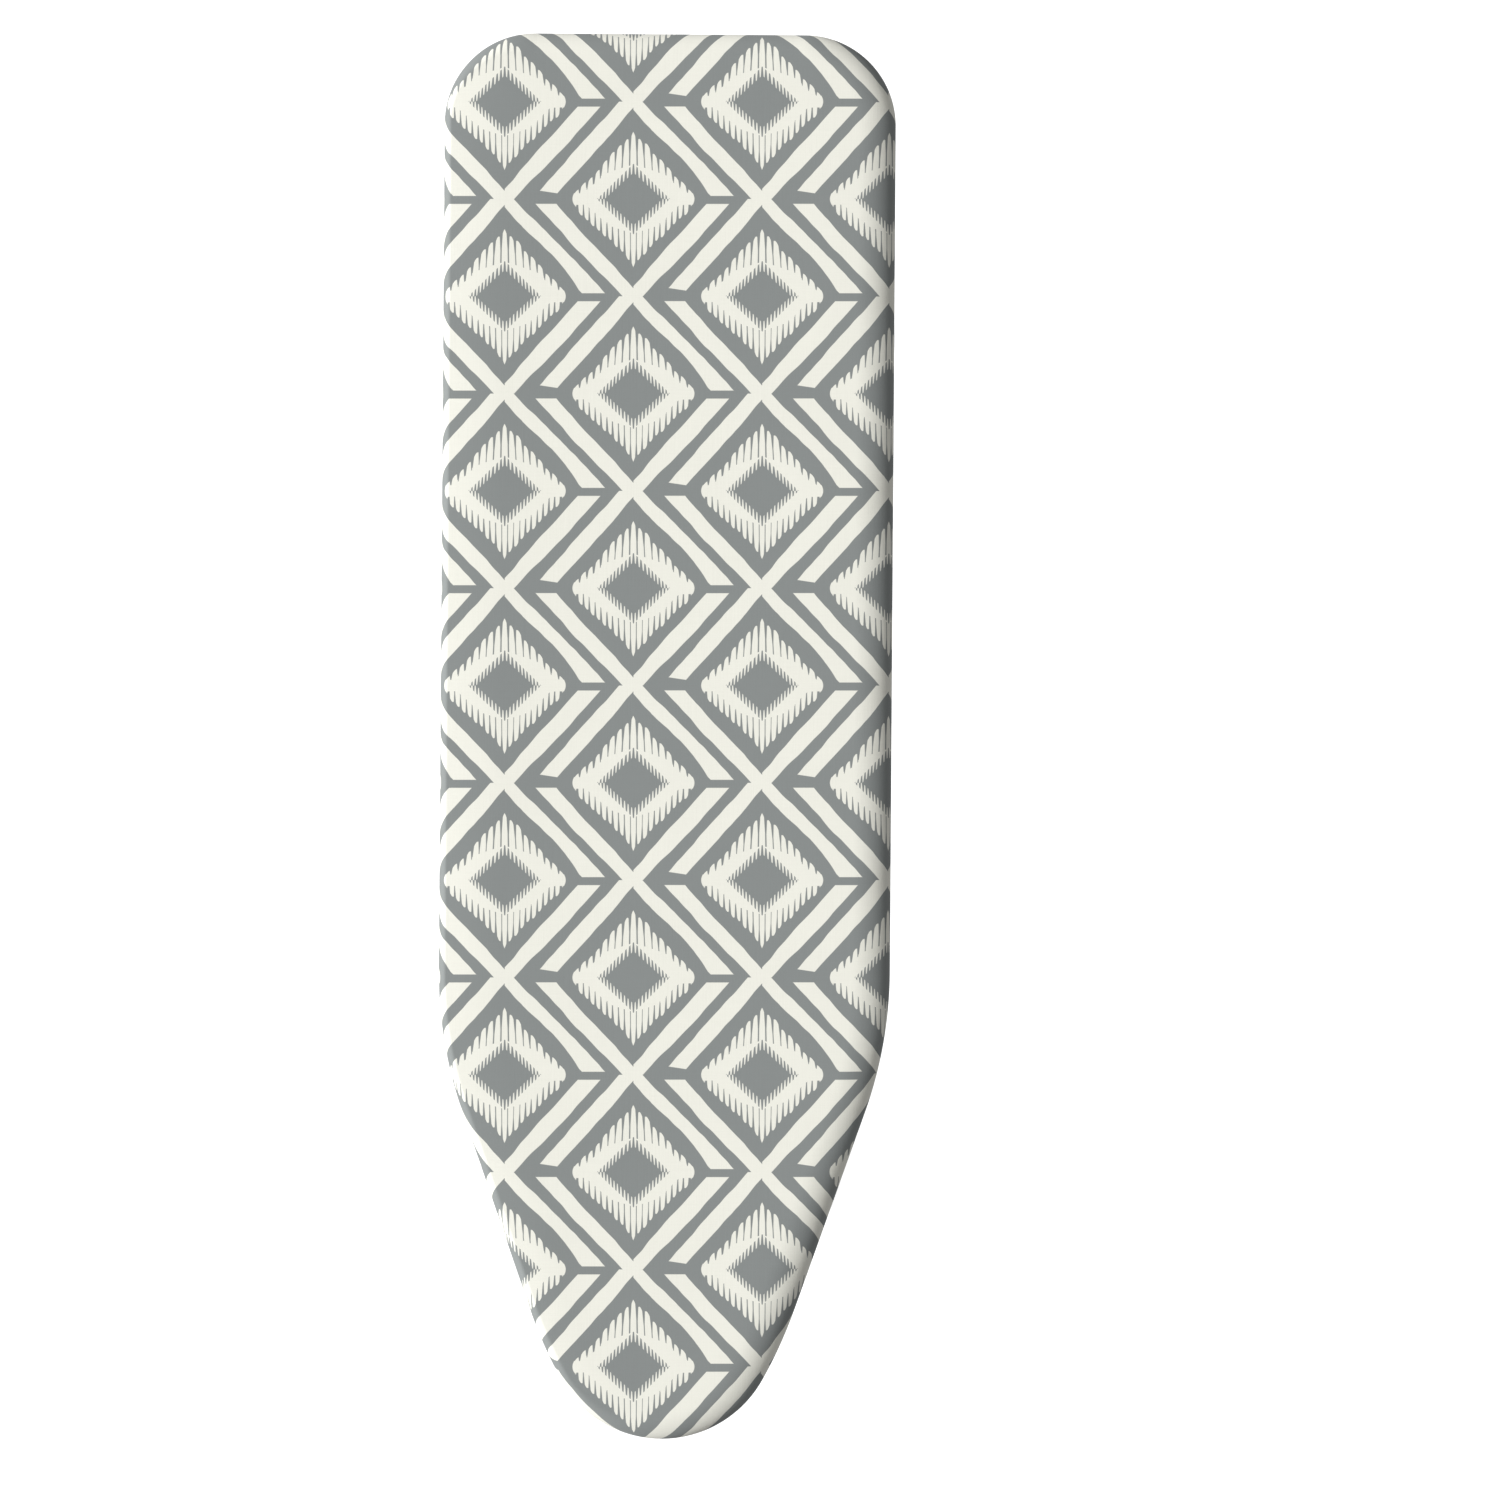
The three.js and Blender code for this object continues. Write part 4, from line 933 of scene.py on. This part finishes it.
ACROSS = np.array([0.0, 1.0, 0.0])
TUBE_WALL = 1.2 * MM
TUBE_EDGE = 0.3 * MM
WELD_GAP = 0.3 * MM
WELD_RADIUS = 1.7 * MM
BAR_SIDES = 96
leg_enamel = enamel("leg_enamel", (0.47, 0.48, 0.49, 1), Metallic=0.3)


def middle(node):
    low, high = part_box(node)
    return np.array((low + high) / 2)


def unit(vector):
    return vector / np.linalg.norm(vector)


def turned(radius, along, centre, axis, side, sides=48, oval=1):
    """Rings about an axis: centre + along * axis + radius (cos a * side + oval sin a * third direction).

    radius and along have one row for each ring, and may also change round it.
    """
    turn = round_turns(sides)
    radius = np.asarray(radius, float).reshape(len(radius), -1)[..., None]
    along = np.asarray(along, float).reshape(len(along), -1)[..., None]
    third = np.cross(axis, side)
    cosine, sine = np.cos(turn)[:, None], np.sin(turn)[:, None]
    return centre + along * axis + radius * (cosine * side + oval * sine * third)


def ring_faces(points, hollow):
    """Quads between rings, closed from the last ring to the first if hollow, else with a flat end each."""
    rings, sides = points.shape[:2]
    if hollow:
        return [quads(rings, sides, close_rows=True)]
    return [quads(rings, sides), np.arange(sides)[None], (rings - 1) * sides + np.arange(sides)[None]]


def ringed_piece(node, ending, body, slot, finish, points, hollow=False, smooth=40):
    """A piece made of rings of points, named after the node that it takes the place of."""
    piece = new_piece(node + ending, body, slot, finish, points, *ring_faces(points, hollow), smooth=smooth)
    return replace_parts(piece, node)

def tube_section(radius, start, end, sides=48):
    """Radii and places along a hollow tube between start and end, which may change round the tube."""
    start = np.broadcast_to(start, (sides,))
    end = np.broadcast_to(end, (sides,))
    bore, eased = radius - TUBE_WALL, radius - TUBE_EDGE
    radii = np.array([bore, eased, radius, radius, eased, bore])
    along = np.stack([start, start, start + TUBE_EDGE, end - TUBE_EDGE, end, end])
    return np.repeat(radii[:, None], sides, 1), along

def weld_bead(radius, along, centre, axis, side):
    """A small uneven ring round a tube's end: circles of WELD_RADIUS, rippled, about the cut's own line."""
    sides = len(along)
    turn = round_turns(sides)
    around_bead = round_turns(8)[:, None]
    ripple = WELD_RADIUS * (1 + 0.16 * np.abs(np.sin(11 * turn)) + 0.05 * np.sin(3 * turn + 1))
    bead_radius = radius + ripple * np.cos(around_bead)
    return turned(bead_radius, along - 0.4 * MM + ripple * np.sin(around_bead), centre, axis, side, sides)


def saddle(bar_radius, tube_radius):
    """How far short of a bar's middle line a tube that stands on it is cut, all round the tube.

    It is the root of (bar radius + gap) squared less (tube radius times sin of the turn) squared.
    """
    return np.sqrt((bar_radius + WELD_GAP) ** 2 - (tube_radius * np.sin(round_turns(BAR_SIDES))) ** 2)

tops = {"outer": np.array(joints["legs_fold"]["pos_m"]), "inner": middle("catch_rod")}
tube_ends = {}

for leg, top in tops.items():
    body = leg + "_leg"
    foot = middle(leg + "_foot_bar")
    down = unit(foot - top)
    bar_low, bar_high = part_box(leg + "_foot_bar")
    bar_radius = (bar_high.z - bar_low.z) / 2
    brace_at = middle(leg + "_leg_brace") * [1, 0, 1]
    brace_low, brace_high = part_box(leg + "_leg_brace")
    brace_radius = (brace_high.z - brace_low.z) / 2
    beads = []
    for side_name, sign in (("left", 1), ("right", -1)):
        node = f"{leg}_leg_tube_{side_name}"
        low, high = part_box(node)
        radius = (high.y - low.y) / 2
        centre = top + ACROSS * sign * (abs(low.y + high.y) / 2)
        start = (top[2] - high.z + radius * abs(down[0])) / abs(down[2])
        tube_ends[node] = centre + down * start
        end = np.linalg.norm(foot - top) - saddle(bar_radius, radius)
        points = turned(*tube_section(radius, start, end, BAR_SIDES), centre, down, ACROSS, BAR_SIDES)
        ringed_piece(node, "_drawn", body, "grey_enamel", leg_enamel, points, hollow=True)
        beads.append(weld_bead(radius, end, centre, down, ACROSS))

        # The brace's end at this tube, saddle-cut the other way.
        brace_end = abs(centre[1]) - saddle(radius, brace_radius)
        beads.append(weld_bead(brace_radius, brace_end, brace_at, ACROSS * sign, down))
    brace_section = tube_section(brace_radius, -brace_end, brace_end, BAR_SIDES)
    points = turned(*brace_section, brace_at, ACROSS, down, BAR_SIDES)
    ringed_piece(leg + "_leg_brace", "_drawn", body, "grey_enamel", leg_enamel, points, hollow=True)
    bar_section = tube_section(bar_radius, -bar_high.y, bar_high.y)
    points = turned(*bar_section, foot * [1, 0, 1], ACROSS, np.cross(down, ACROSS))
    ringed_piece(leg + "_foot_bar", "_drawn", body, "grey_enamel", leg_enamel, points, hollow=True)
    rings, sides = beads[0].shape[:2]
    bead_faces = [quads(rings, sides, close_rows=True) + i * rings * sides for i in range(len(beads))]
    new_piece(leg + "_leg_welds", body, "grey_enamel", leg_enamel, np.stack(beads), *bead_faces)

# ---------------------------------------------------------------- foot caps and tube plugs
# Moulded in dark rubbery plastic. A foot cap is a blind sleeve over the end of a foot bar, with a lip,
# grip rings and a flat sole. A plug is a domed disc pressed into the top end of a leg tube.

CAP_BEHIND = 41 * MM
CAP_BEYOND = 5 * MM
CAP_HALF_WIDTH = 14.2 * MM
CAP_LIP = 5 * MM
GRIP_RING_PITCH = 5 * MM
GRIP_RINGS_FROM = -28 * MM
GRIP_RINGS_TO = -3 * MM
SOLE_SQUARENESS = 5
CAP_SIDES = 64
CAP_RIB = 0.045
CAP_DOME = 2.2 * MM


def moulded():
    """Moulded plastic: fine pits for height, and a slight drift of shade and gloss."""
    tree, given, result = effect("moulded", {"Place": "Vector", "Tint": "Color"}, COAT_OUTPUTS)
    pits = noise(tree, given["Place"], 1100, 2)
    drift = noise(tree, given["Place"], 30, 3)
    scuffs = ((noise(tree, given["Place"], 160, 5, Roughness=0.7) - 0.66) * 14).clipped()
    color = shaded(tree, given["Tint"], 0.88 + drift * 0.24 + scuffs * 0.35)
    return give(tree, result, Color=color, Roughness=0.42 + drift * 0.18 + scuffs * 0.2, Height=pits)

moulded_effect = moulded()

def plastic(name, tint, bump_distance, **constants):
    return coated(name, moulded_effect, bump_distance, constants, Tint=tint)

dark_plastic = plastic("dark_plastic", (0.042, 0.045, 0.048, 1), 0.1 * MM)
DOWN = np.array([0.0, 0.0, -1.0])


def cap_outline(sole_depth, sides):
    """Radius round a foot cap from straight down: a circle above, and a squarer oval down to the sole.

    The lower half is (|cos a| / depth)^n + (|sin a| / half width)^n = 1, with n the sole's squareness.
    """
    turn = round_turns(sides)
    lower = (np.abs(np.cos(turn)) / sole_depth) ** SOLE_SQUARENESS
    lower += (np.abs(np.sin(turn)) / CAP_HALF_WIDTH) ** SOLE_SQUARENESS
    return np.where(np.cos(turn) > 0, lower ** (-1 / SOLE_SQUARENESS), CAP_HALF_WIDTH)


def foot_cap(bar_radius, sole_depth, sides=CAP_SIDES):
    """Radii and places along a cap from its bar's end: its bore, its lip, its ringed outside and its end."""
    bore = np.full(sides, bar_radius + WELD_GAP)
    outline = cap_outline(sole_depth, sides)
    skin = np.linspace(-CAP_BEHIND + 1 * MM, CAP_BEYOND - 2.5 * MM, 70)
    lip = ramp(-CAP_BEHIND + CAP_LIP, -CAP_BEHIND + CAP_LIP + 2 * MM, skin)
    ringed = (skin > GRIP_RINGS_FROM) & (skin < GRIP_RINGS_TO)
    ring = 0.5 - 0.5 * np.cos(2 * np.pi * (skin - GRIP_RINGS_FROM) / GRIP_RING_PITCH)
    scale = 1 - CAP_RIB * lip + CAP_RIB * ringed * ring
    end = np.linspace(0, np.pi / 2, 6)[1:]
    scale = np.concatenate([[0.95], scale, scale[-1] - 0.18 * (1 - np.cos(end)), [0.45]])
    place = np.concatenate([[-CAP_BEHIND], skin, skin[-1] + CAP_DOME * np.sin(end), [CAP_BEYOND]])
    radii = np.concatenate([[bore, bore], scale[:, None] * outline])
    return radii, np.concatenate([[0.5 * MM, -CAP_BEHIND], place])


PLUG_RADII = np.array([9.2, 9.5, 9.5, 10.6, 11, 10.9, 10.2, 8.2, 5.4, 2.4]) * MM
PLUG_PLACES = np.array([-4, -3.6, 0, 0, 0.4, 0.9, 1.4, 2.1, 2.6, 2.8]) * MM

for leg, top in tops.items():
    body = leg + "_leg"
    foot = middle(leg + "_foot_bar")
    down = unit(foot - top)
    bar_low, bar_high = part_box(leg + "_foot_bar")
    bar_radius = (bar_high.z - bar_low.z) / 2
    for side_name, sign in (("left", 1), ("right", -1)):
        centre = foot * [1, 0, 1] + ACROSS * sign * bar_high.y
        points = turned(*foot_cap(bar_radius, foot[2]), centre, ACROSS * sign, DOWN, CAP_SIDES)
        ringed_piece(f"{leg}_foot_cap_{side_name}", "_moulded", body, "dark_plastic", dark_plastic, points)
        tube_end = tube_ends[f"{leg}_leg_tube_{side_name}"]
        points = turned(PLUG_RADII, PLUG_PLACES, tube_end, -down, ACROSS)
        ringed_piece(f"{leg}_tube_plug_{side_name}", "_domed", body, "dark_plastic", dark_plastic, points)

# ---------------------------------------------------------------- pins, bolts, cap nuts and catch rod
# Turned and headed steel, zinc-plated. The rivets and the catch rod are closed over by a press, and the
# crossing bolts end in cap nuts.


def plated():
    """Bright plating: cloudy in colour and gloss, with fine rub marks for height."""
    entries = {"Place": "Vector", "Pale": "Color", "Dull": "Color"}
    tree, given, result = effect("plated", entries, COAT_OUTPUTS)
    cloud = noise(tree, given["Place"], 75, 4)
    stretched = add_node(tree, "ShaderNodeMapping", {"Vector": given["Place"], "Scale": (260, 2600, 2600)})
    rubbed = noise(tree, stretched.outputs[0], 1, 2)
    color = blended(tree, ((cloud - 0.35) * 3).clipped(), given["Pale"], given["Dull"])
    return give(tree, result, Color=color, Roughness=0.22 + cloud * 0.22 + rubbed * 0.1, Height=rubbed)

plated_effect = plated()

def plating(name, pale, dull):
    return coated(name, plated_effect, 0.02 * MM, {"Metallic": 1}, Pale=pale, Dull=dull)

zinc_plate = plating("zinc_plate", (0.66, 0.69, 0.72, 1), (0.56, 0.55, 0.50, 1))
white_nylon = plastic("white_nylon", (0.72, 0.71, 0.66, 1), 0.04 * MM, Subsurface_Weight=0.1)


def hexagon(corner, sides):
    """Radius round a hexagon: its flats' distance over the cosine of the turn from the nearest flat."""
    turn = round_turns(sides)
    from_flat = np.mod(turn + np.pi / 6, np.pi / 3) - np.pi / 6
    return corner * np.cos(np.pi / 6) / np.cos(from_flat)


def across_piece(node, body, slot, finish, near, far=(), hollow=False, sides=48):
    """A turned piece in place of node, about the line across the board through its middle.

    near and far are pairs of a radius and a distance from the near or the far end, in millimetres. The
    near end is the one nearer to the middle of the board.
    """
    low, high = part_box(node)
    sign = 1 if low.y + high.y >= 0 else -1
    start = min(abs(low.y), abs(high.y)) if low.y * high.y > 0 else low.y
    length = (high.y - low.y) / MM
    radii = np.stack([np.broadcast_to(radius, (sides,)) for radius, _ in (*near, *far)]) * MM
    places = np.array([place for _, place in near] + [length - back for _, back in far]) * MM
    centre = middle(node) * [1, 0, 1] + ACROSS * sign * start
    points = turned(radii, places, centre, ACROSS * sign, DOWN, sides)
    return ringed_piece(node, "_turned", body, slot, finish, points, hollow, smooth=35)

NUT_SIDES = 60
flats = hexagon(7.5, NUT_SIDES)

for side_name in ("left", "right"):
    across_piece(
        "hinge_pin_" + side_name, "board", "zinc_steel", zinc_plate,
        near=((3, 0), (4.6, 0.2), (5.8, 0.8), (6.5, 1.6), (4, 1.6)),
        far=((4, 3.6), (6.6, 3.6), (7, 3.2), (6.8, 2.4), (5.8, 1.2), (3.8, 0.3), (1.5, 0)),
    )
    across_piece(
        "cross_bolt_" + side_name, "outer_leg", "zinc_steel", zinc_plate,
        near=((1.5, 0), (4, 0.4), (6, 1.4), (7.1, 2.8), (7.5, 4.1), (7.3, 4.5), (4, 4.5)),
        far=((4, 0.6), (3.5, 0)),
    )
    across_piece(
        "cross_cap_nut_" + side_name, "outer_leg", "zinc_steel", zinc_plate,
        near=(
            (flats * 0.94, 0), (flats, 0.5), (flats, 4.3), (np.minimum(flats, 7.1), 5), (6.3, 5.2),
            (6, 5.4), (5.9, 5.9), (5.2, 7.3), (3.7, 8.5), (1.4, 9),
        ),
        sides=NUT_SIDES,
    )
    across_piece(
        "cross_spacer_" + side_name, "outer_leg", "white_nylon", white_nylon,
        near=((4.3, 0), (9.3, 0), (10, 0.6)), far=((10, 0.6), (9.3, 0), (4.3, 0)), hollow=True,
    )
    across_piece(
        "rail_glide_" + side_name, "inner_leg", "white_nylon", white_nylon,
        near=((5.3, 0), (8.5, 0), (9, 0.5), (9, 2.9), (8.7, 3.2), (6.8, 3.2)),
        far=((6.8, 0.4), (6.4, 0), (5.3, 0)), hollow=True,
    )
across_piece(
    "catch_rod", "inner_leg", "zinc_steel", zinc_plate,
    near=((3, 0), (4.8, 0.2), (6.2, 1), (7, 2.2), (5, 2.2)),
    far=((5, 2.2), (7, 2.2), (6.2, 1), (4.8, 0.2), (3, 0)),
)

# ---------------------------------------------------------------- brackets, bearings and latch rack
# Pressed steel, zinc-plated: the ears that the outer leg hangs in, the plates that the lever turns in,
# and the toothed rack that drops over the catch rod.

for name in (
    "hinge_bracket_left", "hinge_bracket_right", "lever_bearing_front", "lever_bearing_rear", "latch_rack",
):
    nodes[name].material_slots[0].material = zinc_plate

# ---------------------------------------------------------------- release lever
# A steel rod bent twice: its shaft turns in the bearings beside the rail, its arm reaches out to the
# board's left edge, and a moulded grip with finger swells is pushed over its end.

ROD_RADIUS = 3 * MM
BEND_RADIUS = 14 * MM
BEND_STEPS = 12
shaft = np.array(joints["lever_squeeze"]["pos_m"])
grip_at = middle("lever_grip")
rod_low, rod_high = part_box("lever_rod")
grip_low, grip_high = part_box("lever_grip")


def bent(corners, bend, steps):
    """Straights joined by curves, each (1-t)^2 before + 2t(1-t) corner + t^2 after, bend from its corner."""
    t = np.linspace(0, 1, steps)[:, None]
    line = [corners[:1]]
    for before, corner, after in zip(corners[:-2], corners[1:-1], corners[2:]):
        entry = corner + bend * unit(before - corner)
        leave = corner + bend * unit(after - corner)
        line.append((1 - t) ** 2 * entry + 2 * t * (1 - t) * corner + t ** 2 * leave)
    return np.concatenate([*line, corners[-1:]])


def carried(line, radius, reference, sides=20):
    """A circle carried along a line of points: each ring is square to the line there.

    reference is a direction that the line never takes, from which every ring's own two are worked out.
    """
    way = np.gradient(line, axis=0)
    way /= np.linalg.norm(way, axis=1, keepdims=True)
    first = np.cross(way, reference)
    first /= np.linalg.norm(first, axis=1, keepdims=True)
    second = np.cross(way, first)
    turn = round_turns(sides)[:, None]
    return line[:, None] + radius * (np.cos(turn) * first[:, None] + np.sin(turn) * second[:, None])


rear_x = rod_low.x + ROD_RADIUS
rod_corners = np.array([
    [rod_high.x, shaft[1], shaft[2]],
    [rear_x, shaft[1], shaft[2]],
    [rear_x, grip_at[1], grip_at[2]],
    [grip_high.x - 6 * MM, grip_at[1], grip_at[2]],
])
arm_slope = unit(rod_corners[2] - rod_corners[1])
points = carried(bent(rod_corners, BEND_RADIUS, BEND_STEPS), ROD_RADIUS, np.cross(arm_slope, [1, 0, 0]))
ringed_piece("lever_rod", "_bent", "release_lever", "zinc_steel", zinc_plate, points)

GRIP_STEPS = 170
GRIP_RADIUS = 8 * MM
FINGER_SWELLS = 4
FINE_RIBS = 38
s = np.linspace(0, 1, GRIP_STEPS)
ends = np.sqrt(np.clip(1 - ((s - 0.94) / 0.06).clip(0, 1) ** 2, 0.03, 1)) * (0.72 + 0.28 * ramp(0, 0.07, s))
swell = 0.925 - 0.06 * np.cos(2 * np.pi * FINGER_SWELLS * s)
ribs = 0.014 * np.cos(2 * np.pi * FINE_RIBS * s) * ramp(0.10, 0.13, s) * ramp(-0.90, -0.87, -s)
radii = np.concatenate([[ROD_RADIUS + WELD_GAP], GRIP_RADIUS * ends * (swell + ribs)])
places = np.concatenate([[0], s * (grip_high.x - grip_low.x)])
grip_start = np.array([grip_low.x, grip_at[1], grip_at[2]])
points = turned(radii, places, grip_start, np.array([1.0, 0, 0]), ACROSS, oval=0.88)
ringed_piece("lever_grip", "_moulded", "release_lever", "dark_plastic", dark_plastic, points)

# ---------------------------------------------------------------- lever return spring
# Spring wire wound on the lever's shaft behind the rack. One end hooks up behind the rear cross channel,
# and the other presses on the rack's web and turns with it.

SPRING_WIRE = 0.5 * MM
COIL_RADIUS = 4.4 * MM
COIL_TURNS = 5.3
COIL_PITCH = 1.8 * MM
spring_wire = plating("spring_wire", (0.42, 0.43, 0.45, 1), (0.30, 0.30, 0.31, 1))
rack_low, rack_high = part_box("latch_rack")
coil_start = rack_low.x - 18 * MM
turns = np.linspace(0, COIL_TURNS, round(COIL_TURNS * 28))
coil = np.stack([
    coil_start + COIL_PITCH * turns,
    shaft[1] + COIL_RADIUS * np.cos(np.pi - 2 * np.pi * turns),
    shaft[2] + COIL_RADIUS * np.sin(np.pi - 2 * np.pi * turns),
], -1)
hook = [[coil_start - 0.6 * MM, shaft[1] - COIL_RADIUS, shaft[2] + rise * MM] for rise in (11, 7, 3)]
web_height = rack_high.z + 2 * SPRING_WIRE + WELD_GAP
tail = [[rack_low.x + run * MM, shaft[1] + out * MM, web_height] for run, out in ((-4, 6), (12, 9))]
LAST_TURN = 20
for name, body, line in (
    ("lever_return_spring", "board", [*hook, *coil[3:]]),
    ("lever_spring_tail", "release_lever", [*coil[-LAST_TURN:], *tail]),
):
    points = carried(np.array(line), SPRING_WIRE, np.array([1, 0.35, 1]), sides=10)
    spring = new_piece(name, body, "spring_steel", spring_wire, points, *ring_faces(points, False))
    if body == "board":
        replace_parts(spring, "lever_spring")
